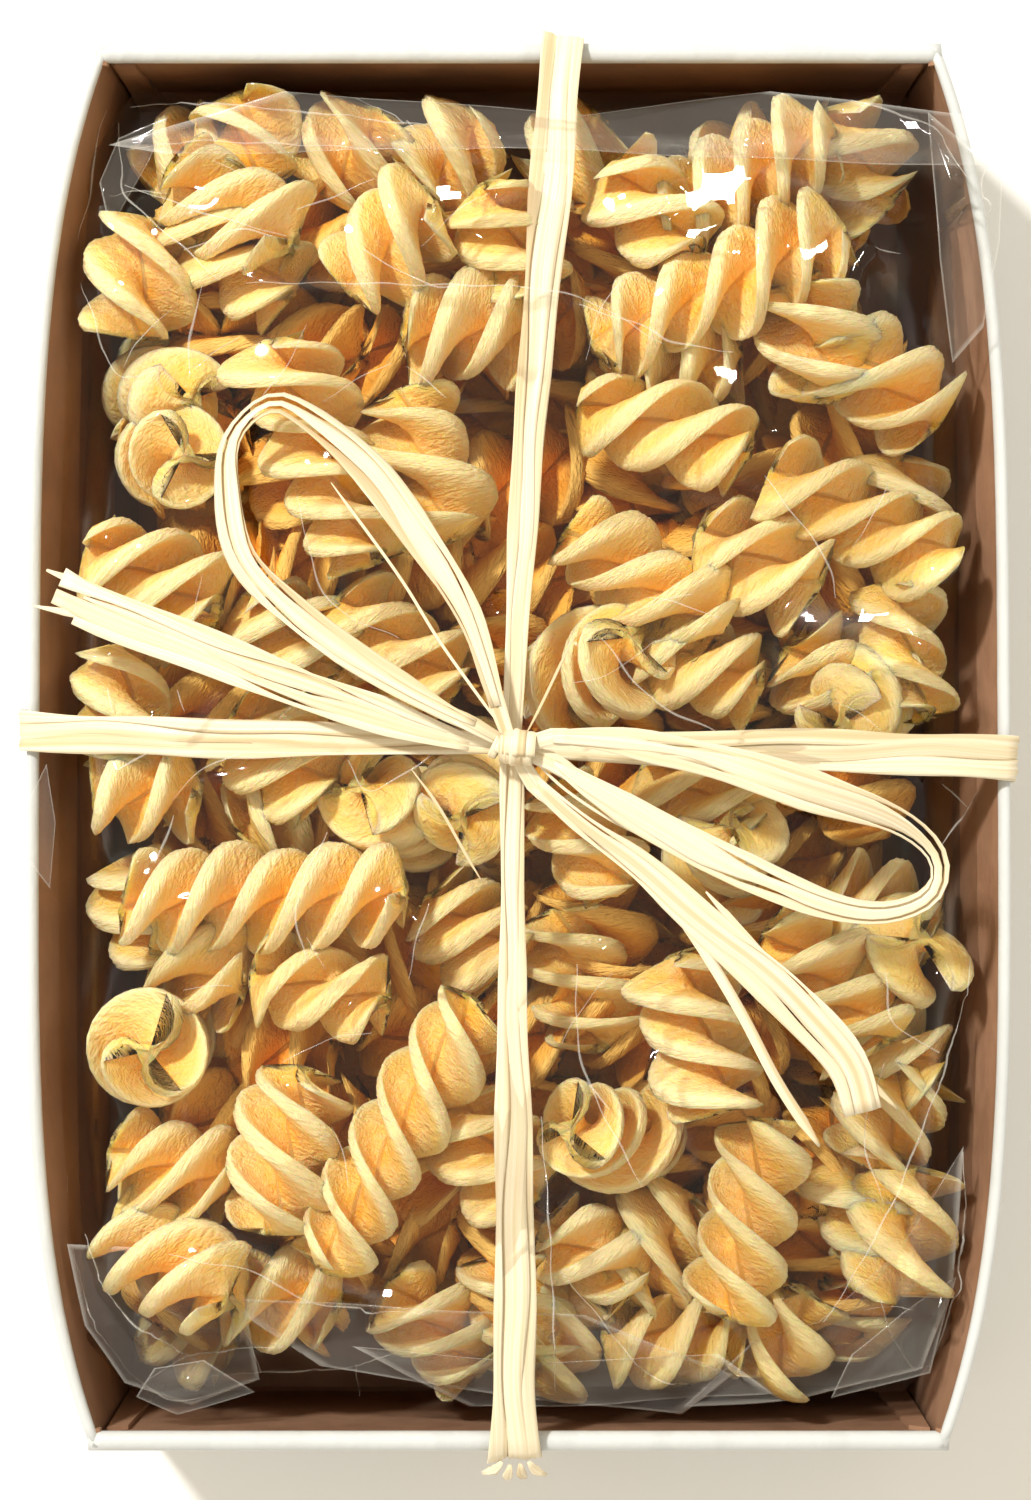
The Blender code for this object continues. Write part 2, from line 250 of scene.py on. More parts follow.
def make_pebble():
    """A leathery skin: short wrinkles that run across a blade, with a floury grain on them."""
    tree, start, end = new_group(
        "pebbled_skin", (("Place", "Vector", None), ("Wrinkles per metre", "Float", 900.0)), ("Height",)
    )
    squeeze = add_node(tree, "VectorMath", operation="MULTIPLY")
    squeeze.inputs[1].default_value = (0.42, 0.42, 1.0)
    wrinkle = add_node(tree, "TexNoise", Detail=1.5, Roughness=0.6, Distortion=0.6)
    flour = add_node(tree, "TexNoise", Detail=0.0)
    finer = math_node(tree, "MULTIPLY", start.outputs[1], 2.6)
    wire(
        tree,
        (start.outputs[0], squeeze.inputs[0]),
        (squeeze.outputs[0], wrinkle.inputs["Vector"]),
        (start.outputs[1], wrinkle.inputs["Scale"]),
        (start.outputs[0], flour.inputs["Vector"]),
        (finer, flour.inputs["Scale"]),
    )
    deep = math_node(tree, "MULTIPLY", wrinkle.outputs[0], 0.75)
    fine = math_node(tree, "MULTIPLY", flour.outputs[0], 0.25)
    wire(tree, (math_node(tree, "ADD", deep, fine), end.inputs[0]))
    return tree


MOTTLE = make_mottle()
FIBRES = make_fibres()
PEBBLE = make_pebble()
print("groups", [tree.name for tree in (MOTTLE, FIBRES, PEBBLE)])

# %% Material helpers
def new_material(name, **values):
    """A material and its Principled shader, with fixed values on the shader's own sockets."""
    material = bpy.data.materials.new(name)
    material.use_nodes = True
    shader = material.node_tree.nodes["Principled BSDF"]
    for key, value in values.items():
        shader.inputs[key.replace("_", " ")].default_value = value
    return material, material.node_tree, shader


def use_group(tree, group, place, *values):
    """Place a shared group, with its place vector and its own numbers."""
    node = tree.nodes.new("ShaderNodeGroup")
    node.node_tree = group
    tree.links.new(place, node.inputs[0])
    for socket, value in zip(list(node.inputs)[1:], values):
        socket.default_value = value
    return node


def fact(tree, name):
    """A number or vector stored at each vertex."""
    return add_node(tree, "Attribute", attribute_type="GEOMETRY", attribute_name=name)


def mix_colours(tree, mask, dark, light):
    """Two colours, or colour sockets, mixed by a mask."""
    node = tree.nodes.new("ShaderNodeMix")
    node.data_type = "RGBA"
    tree.links.new(mask, node.inputs["Factor"])
    for socket, value in ((node.inputs[6], dark), (node.inputs[7], light)):
        if isinstance(value, tuple):
            socket.default_value = (*value, 1.0)
        else:
            tree.links.new(value, socket)
    return node.outputs[2]


def spread(tree, value, low, high, to_low=0.0, to_high=1.0):
    """Stretch a mask between two of its values."""
    node = add_node(tree, "MapRange")
    node.inputs["From Min"].default_value = low
    node.inputs["From Max"].default_value = high
    node.inputs["To Min"].default_value = to_low
    node.inputs["To Max"].default_value = to_high
    tree.links.new(value, node.inputs["Value"])
    return node.outputs[0]


def add_bump(tree, shader, height, strength, distance):
    """Relief that feeds the shader's normal."""
    bump = add_node(tree, "Bump", Strength=strength, Distance=distance)
    tree.links.new(height, bump.inputs["Height"])
    tree.links.new(bump.outputs[0], shader.inputs["Normal"])
    return bump


print("material helpers ready")

# %% [markdown]
# ## Raffia strands
#
# Raffia is the dried skin of a palm leaf, split into flat strands. A bundle is three or four of
# them side by side, each a little curled across, creased along and free to wander, with gaps
# where they part. A flat ribbon would look like plastic, so every strand is swept on its own
# along the bundle's middle line, and all the strands of a bundle are one mesh.
#
# The loops and tails of the bow are free cords. Their middle lines are the ones the frame's
# tubes follow, and their lengths are measured from those lines.

# %% Middle lines of the loose raffia
LOOSE_ROUTES = {
    "raffia_loop_left": (
        (-2.4, 4.8, 53.4), (-5.7, 14.9, 53.4), (-11.5, 24.3, 53.2), (-17.4, 32.5, 52.8),
        (-25.6, 39.5, 52.2), (-29.7, 40.4, 52.0), (-33.6, 36.6, 51.8), (-34.2, 31.0, 51.8),
        (-32.4, 22.4, 52.2), (-25.8, 15.6, 53.0), (-17.6, 9.4, 54.2), (-9.4, 4.6, 55.2),
        (-5.2, 2.5, 55.5),
    ),
    "raffia_loop_right": (
        (4.0, 1.2, 55.4), (9.5, 1.0, 55.1), (15.4, 0.2, 54.6), (26.0, -2.4, 53.8),
        (36.5, -6.0, 53.0), (44.7, -8.8, 52.2), (48.8, -12.1, 51.8), (49.4, -15.6, 51.6),
        (47.2, -18.3, 51.5), (42.0, -19.6, 51.6), (35.3, -18.4, 51.9), (26.0, -14.3, 52.6),
        (16.6, -9.4, 53.4), (9.0, -5.0, 53.9), (4.1, -1.9, 53.9),
    ),
    "raffia_tail_left": (
        (-5.7, 0.4, 52.2), (-14.0, 3.0, 52.1), (-25.6, 6.9, 52.0), (-37.3, 10.9, 51.9),
        (-48.6, 15.6, 51.6), (-54.4, 18.2, 51.4),
    ),
    "raffia_tail_right": (
        (2.0, -4.4, 52.2), (8.0, -9.4, 52.1), (15.4, -14.9, 52.0), (23.8, -22.4, 51.9),
        (33.0, -31.0, 51.7), (38.4, -37.0, 51.4), (40.4, -43.0, 51.0),
    ),
}


def smooth_route(points, spacing=1.6 * MM, closed=False):
    """Even points on a Catmull-Rom curve through the given points."""
    knots = [Vector(point) for point in points]
    if closed:
        knots = [knots[-1]] + knots + knots[:2]
    else:
        knots = [2 * knots[0] - knots[1]] + knots + [2 * knots[-1] - knots[-2]]
    fine = []
    for a, b, c, d in zip(knots, knots[1:], knots[2:], knots[3:]):
        for step in range(16):
            t = step / 16
            fine.append(0.5 * (2 * b + (c - a) * t + (2 * a - 5 * b + 4 * c - d) * t ** 2
                               + (3 * b - 3 * c + d - a) * t ** 3))
    fine.append(knots[-2])
    run = np.concatenate([[0.0], np.cumsum([(q - p).length for p, q in zip(fine, fine[1:])])])
    count = max(4, round(run[-1] / spacing))
    places = np.linspace(0.0, run[-1], count + 1)
    table = np.array(fine)
    return [Vector([np.interp(s, run, table[:, k]) for k in range(3)]) for s in places]


def route_length(route):
    """Length of a line of points."""
    return sum((q - p).length for p, q in zip(route, route[1:]))


loose_lines = {name: smooth_route([Vector(p) * MM for p in points])
               for name, points in LOOSE_ROUTES.items()}
for name, line in loose_lines.items():
    print(name, round(route_length(line) / MM, 1), "mm")

# %% Raffia material
def make_raffia(name, pale, deep):
    """Dried palm skin: satin, with fine fibres, paler ridges and tan splits."""
    material, tree, shader = new_material(name, Sheen_Weight=0.15, Specular_IOR_Level=0.4)
    grain = fact(tree, "grain")
    tone = fact(tree, "tone")
    fibres = use_group(tree, FIBRES, grain.outputs["Vector"], 2600.0, 0.012)
    patches = use_group(tree, MOTTLE, grain.outputs["Vector"], 90.0)
    streaks = spread(tree, fibres.outputs[0], 0.32, 0.62)
    body = mix_colours(tree, streaks, deep, pale)
    warm = mix_colours(tree, spread(tree, patches.outputs[0], 0.45, 0.75, 0.0, 0.45), body,
                       (0.82, 0.70, 0.45))
    aged = mix_colours(tree, math_node(tree, "MULTIPLY", tone.outputs["Fac"], 0.35), warm,
                       (0.76, 0.62, 0.38))
    split = mix_colours(tree, math_node(tree, "MULTIPLY", fibres.outputs[1], 0.55), aged,
                        (0.55, 0.38, 0.16))
    tree.links.new(split, shader.inputs["Base Color"])
    tree.links.new(spread(tree, fibres.outputs[0], 0.3, 0.7, 0.62, 0.42), shader.inputs["Roughness"])
    add_bump(tree, shader, fibres.outputs[0], 0.55, 0.00022)
    return material


raffia = make_raffia("raffia_strands", (0.88, 0.82, 0.66), (0.76, 0.65, 0.43))
print("raffia material")

# %% A ribbon of raffia and a band of ribbons
RAFFIA_SHEET = 0.07 * MM


def add_ribbon(bm, layers, stations, rng):
    """Sweep one thin ribbon. A station is a middle, a direction, a face normal and a half width."""
    shade, tone, grain = layers
    own_tone = rng.random()
    own_place = rng.uniform(0.0, 5.0)
    crease = [rng.uniform(-0.10, 0.10) for _ in range(3)]
    across = (-1.0, -0.55 + crease[0], crease[1], 0.55 + crease[2], 1.0)
    fold = [0.0] + [rng.uniform(-0.10, 0.20) for _ in range(3)] + [0.0]
    rings = []
    run = 0.0
    before = stations[0][0]
    for middle, ahead, face, half in stations:
        run += (middle - before).length
        before = middle
        side = face.cross(ahead)
        sheet = RAFFIA_SHEET * min(1.0, half / (0.3 * MM))
        ring = []
        for level in (1, -1):
            for a, bow in zip(across[::level], fold[::level]):
                vert = bm.verts.new(middle + side * a * half + face * (bow * half + level * sheet))
                vert[shade] = abs(a)
                vert[tone] = own_tone
                vert[grain] = Vector((a * half + own_place, run, own_place * 0.37))
                ring.append(vert)
        rings.append(ring)
    join_rings(bm, rings)
    for ring in (rings[0], rings[-1]):
        bm.faces.new(ring)


# Ribbons side by side lie a little over one another where they do not gape.
OVERLAP = 0.16 * MM


def add_band(bm, layers, line, widths, splits, seed, lift=0.22 * MM, gap=0.5 * MM, up=None,
             on_edge=0.0, ragged=0):
    """Ribbons side by side that part here and there. Widths are (share of the way, width)."""
    rng = random.Random(seed)
    parts = len(splits) + 1
    shares = [w[0] for w in widths]
    sizes = [w[1] * MM for w in widths]
    cuts = [-0.5, *splits, 0.5]
    waves = [[rng.uniform(0.0, math.tau) for _ in range(3)] for _ in cuts]
    last = len(line) - 1

    def edge(number, beat, width):
        """Where a cut lies across the band, and how far it gapes."""
        wave = waves[number]
        wander = 0.10 * math.sin(1.1 * beat + wave[0]) + 0.05 * math.sin(2.7 * beat + wave[1])
        gape = max(0.0, math.sin(1.9 * beat + wave[2]) - 0.15) * gap
        inside = 0 < number < parts
        return (cuts[number] + wander * (1.0 if inside else 0.5)) * width, gape if inside else 0.0

    for part in range(parts):
        height = rng.uniform(-lift, lift)
        roll = rng.uniform(-0.16, 0.16)
        rolls = [rng.uniform(0.0, math.tau) for _ in range(2)]
        final = last - (rng.randint(0, ragged) if ragged and part % 2 else 0)
        stations = []
        run = 0.0
        for i in range(final + 1):
            point = line[i]
            before, after = line[max(i - 1, 0)], line[min(i + 1, last)]
            ahead = (after - before).normalized()
            out = up[i] if up else UP
            left = out.cross(ahead).normalized()
            out = ahead.cross(left)
            run += (point - before).length
            beat = run / (9.0 * MM)
            share = i / last
            width = float(np.interp(share, shares, sizes))
            low, gape_low = edge(part, beat, width)
            high, gape_high = edge(part + 1, beat, width)
            half = max(0.16 * MM, (high - low - (gape_low + gape_high) / 2) / 2 + OVERLAP)
            turn = roll + 0.16 * math.sin(0.9 * beat + rolls[0]) + 0.06 * math.sin(3.1 * beat + rolls[1])
            turn += on_edge * math.sin(math.pi * share) ** 4
            turn *= 1.0 - 0.95 * max(0.0, -out.z)
            middle = point + left * (low + high) / 2 + out * height
            face = out * math.cos(turn) - left * math.sin(turn)
            stations.append((middle, ahead, face, half))
        add_ribbon(bm, layers, stations, rng)


def add_fibre(bm, layers, points, width, seed):
    """One thin stray fibre through a few points in millimetres."""
    rng = random.Random(seed)
    line = smooth_route([Vector(p) * MM for p in points], 1.2 * MM)
    last = len(line) - 1
    stations = []
    for i, point in enumerate(line):
        ahead = (line[min(i + 1, last)] - line[max(i - 1, 0)]).normalized()
        left = UP.cross(ahead).normalized()
        taper = min(1.0, 0.25 + min(i, last - i) * 0.25)
        stations.append((point, ahead, ahead.cross(left), width / 2 * taper))
    add_ribbon(bm, layers, stations, rng)


# Each loose bundle: ribbons in it, its widths along the way in millimetres, how far its ribbons
# stand on edge at the far bend, how ragged its far end is, and what its far end is.
LOOSE_BUNDLES = {
    "raffia_loop_left": (
        (-0.22, 0.30), ((0, 1.4), (0.12, 3.2), (0.3, 4.4), (0.5, 2.3), (0.72, 3.9), (0.9, 2.9), (1, 1.4)),
        0.95, 0, "object",
    ),
    "raffia_loop_right": (
        (-0.34, 0.26), ((0, 1.4), (0.12, 3.8), (0.3, 4.4), (0.5, 2.1), (0.75, 4.2), (0.9, 3.4), (1, 1.4)),
        0.90, 0, "object",
    ),
    "raffia_tail_left": (
        (-0.30, -0.05, 0.32), ((0, 1.4), (0.2, 4.0), (0.6, 4.6), (1, 5.6)), 0.0, 2, "bare",
    ),
    "raffia_tail_right": (
        (-0.26, 0.36), ((0, 1.4), (0.22, 3.4), (0.5, 4.2), (0.85, 4.8), (1, 4.4)), 0.0, 2, "bare",
    ),
}
for seed, (name, (splits, widths, on_edge, ragged, far_end)) in enumerate(LOOSE_BUNDLES.items()):
    line = loose_lines[name]
    bm = bmesh.new()
    add_band(bm, facts(bm), line, widths, splits, 40 + seed, gap=1.1 * MM, on_edge=on_edge, ragged=ragged)
    print(name, "from z", round(line[0].z / MM, 1), "to", round(line[-1].z / MM, 1))
    piece = finish_piece(f"{name}_strands", bm, raffia, replaces=(name,))
    print(piece.name, len(piece.data.polygons), "faces")

# %% [markdown]
# ## The tie and the knot
#
# Two bundles go right round the packet, one lengthwise and one across. They lie over the bag,
# turn over the rims, run down the walls and cross again under the tray. A closed line is swept
# for each, and the strands' faces are turned outward all the way round. The knot is a barrel of
# three turns with a tilted one beside it, over the gathered starts of the loops and tails. The
# stray fibres, and the thin strands that leave the tails partway, belong to the knot as well.

# %% Closed lines of the tie
BAND_HALF = 0.60 * MM
TRAY_HALF_LENGTH = (tray_high.y - tray_low.y) / 2 - 0.25 * MM
TRAY_MID_HALF = (tray_high.x - tray_low.x) / 2
TRAY_BASE_HALF = 50.75 * MM


def long_line():
    """Lengthwise round: slanting to the right toward the back."""
    rim = TRAY_HALF_LENGTH + 1.05 * MM
    half = [(0.0, 50.0), (0.2, 49.95), (0.45, 49.4), (0.7, 47.4), (0.88, 44.8), (0.97, 43.0)]
    points = []
    for share, z in half:
        points.append((share * rim, z * MM))
    points += [(rim - 0.8 * MM, RIM_Z + 0.9 * MM), (rim - 0.05 * MM, RIM_Z - 0.8 * MM)]
    points += [(rim, RIM_Z * share) for share in (0.8, 0.5, 0.2)]
    points += [(rim - 0.1 * MM, 1.6 * MM), (rim - 0.9 * MM, BAND_HALF), (rim * 0.8, BAND_HALF)]
    points += [(rim * 0.4, BAND_HALF), (0.0, BAND_HALF)]
    loop = points + [(-y, z) for y, z in points[-2:0:-1]]
    line = []
    for y, z in loop:
        along = y / TRAY_HALF_LENGTH
        x = (-0.8 + 6.2 * along ** 1.3) * MM if along > 0 else (-0.8 - 0.4 * along) * MM
        line.append(Vector((x, y, z)))
    return line


def cross_line():
    """Round the middle, sloping gently down to the right."""
    rim = TRAY_MID_HALF + 0.8 * MM
    foot = TRAY_BASE_HALF + 0.8 * MM
    points = [(share * rim, z * MM) for share, z in
              ((0.0, 49.6), (0.2, 49.5), (0.45, 49.0), (0.7, 47.0), (0.88, 44.3), (0.96, 42.8))]
    points += [(rim - 0.5 * MM, RIM_Z + 0.6 * MM), (rim, RIM_Z - 0.8 * MM)]
    for share in (0.75, 0.5, 0.25):
        points.append((foot + (rim - foot) * share, RIM_Z * share))
    points += [(foot, 1.7 * MM), (foot - 0.9 * MM, BAND_HALF), (foot * 0.7, BAND_HALF)]
    points += [(foot * 0.35, BAND_HALF), (0.0, BAND_HALF)]
    loop = points + [(-x, z) for x, z in points[-2:0:-1]]
    return [Vector((x, 0.3 * MM - 0.025 * x, z)) for x, z in loop]


def add_round(bm, layers, points, widths, splits, seed):
    """A closed band whose flat side faces out of the packet."""
    line = smooth_route(points, 1.6 * MM, closed=True)
    middle = Vector((0.0, 0.0, 25.0 * MM))
    sides = []
    last = len(line) - 1
    for i, point in enumerate(line):
        ahead = (line[min(i + 1, last)] - line[max(i - 1, 0)]).normalized()
        out = point - middle
        out -= ahead * out.dot(ahead)
        sides.append(out.normalized())
    add_band(bm, layers, line, widths, splits, seed, lift=0.12 * MM, gap=0.45 * MM, up=sides)


# Widths of the two bands, as (share of the way round, millimetres). Both start at the knot.
LONG_WIDTHS = ((0, 1.8), (0.03, 2.3), (0.10, 4.0), (0.20, 4.7), (0.50, 4.6), (0.72, 5.2), (0.80, 6.0),
               (0.87, 4.2), (0.95, 3.0), (1.0, 2.2))
# Short torn ends that curl out from under the long band at the front rim, in millimetres.
RIM_END_WIDTH = 1.7 * MM
RIM_ENDS = (
    ((-2.0, -85.6, 42.3), (-2.9, -86.8, 41.0), (-4.4, -87.4, 39.6)),
    ((0.2, -85.9, 42.0), (0.4, -87.5, 40.6), (1.0, -88.0, 39.2)),
    ((-1.0, -86.0, 42.1), (-1.3, -87.6, 40.8), (-1.6, -88.3, 39.0)),
    ((1.2, -85.6, 42.2), (2.1, -86.9, 41.0), (3.4, -87.6, 40.0)),
)
CROSS_WIDTHS = ((0, 2.2), (0.03, 3.2), (0.10, 4.6), (0.19, 5.2), (0.50, 4.6), (0.81, 4.6), (0.90, 4.2),
                (0.97, 2.8), (1.0, 2.0))
bm = bmesh.new()
layers = facts(bm)
add_round(bm, layers, long_line(), LONG_WIDTHS, (-0.30, 0.26), 11)
add_round(bm, layers, cross_line(), CROSS_WIDTHS, (-0.16, 0.24), 12)
for number, points in enumerate(RIM_ENDS):
    add_fibre(bm, layers, points, RIM_END_WIDTH, 80 + number)
for vert in bm.verts:
    vert.co.z = max(vert.co.z, 0.03 * MM)
tie = finish_piece("raffia_tie_strands", bm, raffia, replaces=("raffia_tie",))
print("tie", len(tie.data.polygons), "faces")

# %% Wound knot
def add_winding(bm, layers, middle, axis, radii, width, seed, turns=1.2):
    """One ribbon wound flat round an axis, over the gathered bundles."""
    rng = random.Random(seed)
    side = axis.orthogonal().normalized()
    up = axis.cross(side)
    stations = []
    for step in range(33):
        angle = math.tau * turns * step / 32
        out = side * math.cos(angle) + up * math.sin(angle)
        reach = side * math.cos(angle) * radii[0] + up * math.sin(angle) * radii[1]
        ahead = up * math.cos(angle) - side * math.sin(angle)
        place = middle + reach * (1.0 + 0.04 * angle / math.tau) + axis * (angle * 0.06 * MM)
        stations.append((place, ahead, out, width / 2))
    add_ribbon(bm, layers, stations, rng)


bm = bmesh.new()
layers = facts(bm)
around = Vector((1.0, -0.10, 0.05)).normalized()
# The wrap is a barrel: three turns side by side, the middle one proud.
for number, (slide, radius) in enumerate(((-0.75, 1.85), (0.45, 2.0), (1.6, 1.85))):
    add_winding(bm, layers, knot_middle + around * slide * MM, around, (radius * MM, radius * MM),
                1.5 * MM, 70 + number)
tilted = Vector((1.0, -0.55, 0.0)).normalized()
add_winding(bm, layers, knot_middle - around * 1.9 * MM, tilted, (1.35 * MM, 1.5 * MM), 1.0 * MM, 74)
gathered = [loose_lines["raffia_loop_left"][0], loose_lines["raffia_loop_left"][-1],
            loose_lines["raffia_loop_right"][0], loose_lines["raffia_loop_right"][-1],
            loose_lines["raffia_tail_left"][0], loose_lines["raffia_tail_right"][0]]
neighbours = [loose_lines["raffia_loop_left"][3], loose_lines["raffia_loop_left"][-4],
              loose_lines["raffia_loop_right"][3], loose_lines["raffia_loop_right"][-4],
              loose_lines["raffia_tail_left"][3], loose_lines["raffia_tail_right"][3]]
for number, (end, beyond) in enumerate(zip(gathered, neighbours)):
    start = knot_middle - (end - knot_middle) * 0.2
    line = smooth_route((start, knot_middle.lerp(end, 0.5), end, end.lerp(beyond, 0.6) - UP * 0.15 * MM))
    add_band(bm, layers, line, ((0, 1.0), (0.4, 1.5), (0.75, 1.9), (1, 1.5)), (0.05,), 90 + number,
             lift=0.06 * MM, gap=0.05 * MM)
# Stray fibres that have come away from the bundles.
STRAY_FIBRES = (
    ((0.6, 1.0, 53.0), (2.6, 4.8, 52.0), (6.4, 12.8, 51.4)),
    ((-12.6, -2.6, 51.0), (-9.4, -7.0, 51.2), (-6.0, -13.0, 50.9), (-4.2, -16.0, 50.6)),
    ((0.4, -1.6, 52.4), (5.4, -7.4, 51.8), (10.2, -12.0, 51.6), (15.0, -16.4, 51.2)),
    ((1.4, -1.2, 53.0), (6.0, -5.4, 52.4), (12.8, -9.6, 52.2), (20.4, -12.4, 51.8)),
    ((-1.8, 2.0, 53.6), (-9.0, 12.0, 53.2), (-14.0, 20.0, 52.8), (-22.0, 31.0, 52.2)),
)
for number, points in enumerate(STRAY_FIBRES):
    add_fibre(bm, layers, points, 0.36 * MM, 120 + number)
# Strands that leave a tail partway: the tail, points in millimetres from above, and a width.
SIDE_STRANDS = (
    ("raffia_tail_right", ((14.0, -13.0), (20.5, -22.0), (26.0, -31.0), (30.5, -39.5), (35.4, -47.0)), 1.3),
    ("raffia_tail_right", ((22.0, -17.0), (30.0, -26.0), (38.0, -36.0), (44.6, -42.6)), 0.9),
    ("raffia_tail_left", ((-20.0, 6.0), (-34.0, 12.5), (-46.0, 17.0), (-55.5, 20.8)), 1.2),
    ("raffia_tail_left", ((-18.0, 3.5), (-34.0, 9.0), (-48.0, 14.5), (-57.0, 16.6)), 0.9),
)
for number, (name, places, width) in enumerate(SIDE_STRANDS):
    points = []
    for x, y in places:
        near = min(loose_lines[name], key=lambda p: (p.x - x * MM) ** 2 + (p.y - y * MM) ** 2)
        points.append((x, y, near.z / MM - 0.3))
    add_fibre(bm, layers, points, width * MM, 60 + number)
knot = finish_piece("raffia_knot_strands", bm, raffia, replaces=("raffia_knot",))
print("knot", len(knot.data.polygons), "faces")

# %% [markdown]
# ## Folded card tray
#
# The tray is one sheet of board, white and glossy outside and bare brown inside, folded up and
# doubled over at the rims. A box with a white top would miss how the doubled edge rolls over,
# how the side walls bow out, and the little gaps at the corners. So each wall is a folded
# sheet: its outline in section is drawn once and carried along the wall.

# %% Card materials
def make_card(name, pale, deep, roughness, coat):
    """Board: the outer face is glossy white, and the inner face is bare brown pulp."""
    material, tree, shader = new_material(name, Coat_Weight=coat, Coat_Roughness=0.18)
    place = add_node(tree, "TexCoord").outputs["Object"]
    patches = use_group(tree, MOTTLE, place, 75.0)
    pulp = use_group(tree, FIBRES, place, 900.0, 0.35)
    shade = fact(tree, "shade")
    body = mix_colours(tree, spread(tree, patches.outputs[0], 0.35, 0.68), deep, pale)
    flecks = mix_colours(tree, math_node(tree, "MULTIPLY", pulp.outputs[1], 0.16), body,
                         tuple(c * 0.62 for c in deep))
    edge = mix_colours(tree, math_node(tree, "MULTIPLY", shade.outputs["Fac"], 0.22), flecks,
                       tuple(min(1.0, c * 1.12) for c in pale))
    tree.links.new(edge, shader.inputs["Base Color"])
    low, high = roughness
    tree.links.new(spread(tree, patches.outputs[0], 0.3, 0.7, low, high), shader.inputs["Roughness"])
    height = math_node(tree, "ADD", pulp.outputs[0],
                       math_node(tree, "MULTIPLY", patches.outputs[0], 2.0))
    add_bump(tree, shader, height, 0.35, 0.00025)
    return material


white_card = make_card("white_card", (0.60, 0.635, 0.65), (0.56, 0.595, 0.61), (0.45, 0.60), 0.08)
brown_card = make_card("brown_card", (0.36, 0.205, 0.125), (0.27, 0.145, 0.085), (0.62, 0.85), 0.0)
print("card materials")

# %% The shape of a wall
BOARD = 0.5 * MM
FLOOR_Z = tray_low.z + 1.0 * MM
SIDE_BOW = TRAY_MID_HALF - TRAY_BASE_HALF


def wall_half_width(y, z):
    """Half the tray's outer width: straight at the base, bowed out at the rim."""
    along = y / TRAY_HALF_LENGTH
    share = min(max((z - tray_low.z) / (RIM_Z - tray_low.z), 0.0), 1.0)
    return TRAY_BASE_HALF - 0.45 * MM * along + SIDE_BOW * (1.0 - along ** 4) * share ** 1.3


def folded_section(roll, inner_gap, turn_from, turn_to):
    """Section of a doubled wall: out from its outer face, and up. The fold is a round roll."""
    top = RIM_Z - roll
    centre = -roll + 0.15 * MM
    outer = [(0.0, tray_low.z), (0.0, tray_low.z + 0.5 * (top - tray_low.z)), (0.0, top - roll)]
    steps = 12
    for step in range(steps + 1):
        angle = math.radians(turn_from + (turn_to - turn_from) * step / steps)
        outer.append((centre + roll * math.cos(angle), top + roll * math.sin(angle)))
    outer += [(-inner_gap, top - 1.6 * roll), (-inner_gap, (top + FLOOR_Z) / 2), (-inner_gap, FLOOR_Z)]
    inner = []
    for k, (v, z) in enumerate(outer):
        before, after = outer[max(k - 1, 0)], outer[min(k + 1, len(outer) - 1)]
        along = Vector((after[0] - before[0], after[1] - before[1])).normalized()
        inner.append((v - along[1] * BOARD, z + along[0] * BOARD))
    inner = [(v, min(z, RIM_Z - BOARD)) for v, z in inner]
    return outer, inner


def sweep_wall(bm, layers, stations, section, place, rng):
    """Carry a folded section along a wall. The last part of its outer line is the inner face."""
    shade = layers[0]
    outer, inner = section
    top = max(z for _, z in outer)
    rings = []
    for station in stations:
        ring = []
        dent = 0.12 * MM * math.sin(station * 900.0 + 1.0) + 0.08 * MM * rng.uniform(-1.0, 1.0)
        for v, z in outer + inner[::-1]:
            soft = dent * max(0.0, 1.0 - (top - z) / (3.0 * MM))
            vert = bm.verts.new(place(station, v, z - abs(soft) * 0.5))
            vert[shade] = max(0.0, 1.0 - (top - z) / (1.5 * MM))
            ring.append(vert)
        rings.append(ring)
    count = len(outer)
    turned = next(k for k, (v, z) in enumerate(outer) if k > 6 and z < top - 1.55 * MM)
    for low, high in zip(rings, rings[1:]):
        for i in range(2 * count):
            j = (i + 1) % (2 * count)
            face = bm.faces.new((low[i], low[j], high[j], high[i]))
            face.material_index = 1 if turned - 1 <= i < count else 0
    for ring in (rings[0], rings[-1]):
        for i in range(count - 1):
            bm.faces.new((ring[i], ring[i + 1], ring[2 * count - 2 - i], ring[2 * count - 1 - i]))


# %% Side walls, end walls and base
def make_tray():
    """Four folded walls: two along the sides and two across the ends."""
    rng = random.Random(5)
    bm = bmesh.new()
    layers = facts(bm)
    side_section = folded_section(0.72 * MM, 1.3 * MM, -20.0, 200.0)
    end_section = folded_section(1.2 * MM, 1.55 * MM, -35.0, 215.0)
    reach = TRAY_HALF_LENGTH - 0.5 * MM
    for side in (1, -1):
        sweep_wall(
            bm, layers, np.linspace(-reach, reach, 72), side_section,
            lambda y, v, z, side=side: Vector((side * (wall_half_width(y, z) + v), y, z)), rng,
        )
        half = TRAY_BASE_HALF - side * 0.45 * MM
        sweep_wall(
            bm, layers, np.linspace(-half - 0.5 * MM, half + 0.5 * MM, 64), end_section,
            lambda x, v, z, side=side: Vector((x, side * (TRAY_HALF_LENGTH + v), z)), rng,
        )
    tray = finish_piece("tray_card", bm, white_card, replaces=("tray",))
    tray.data.materials.append(brown_card)
    return tray


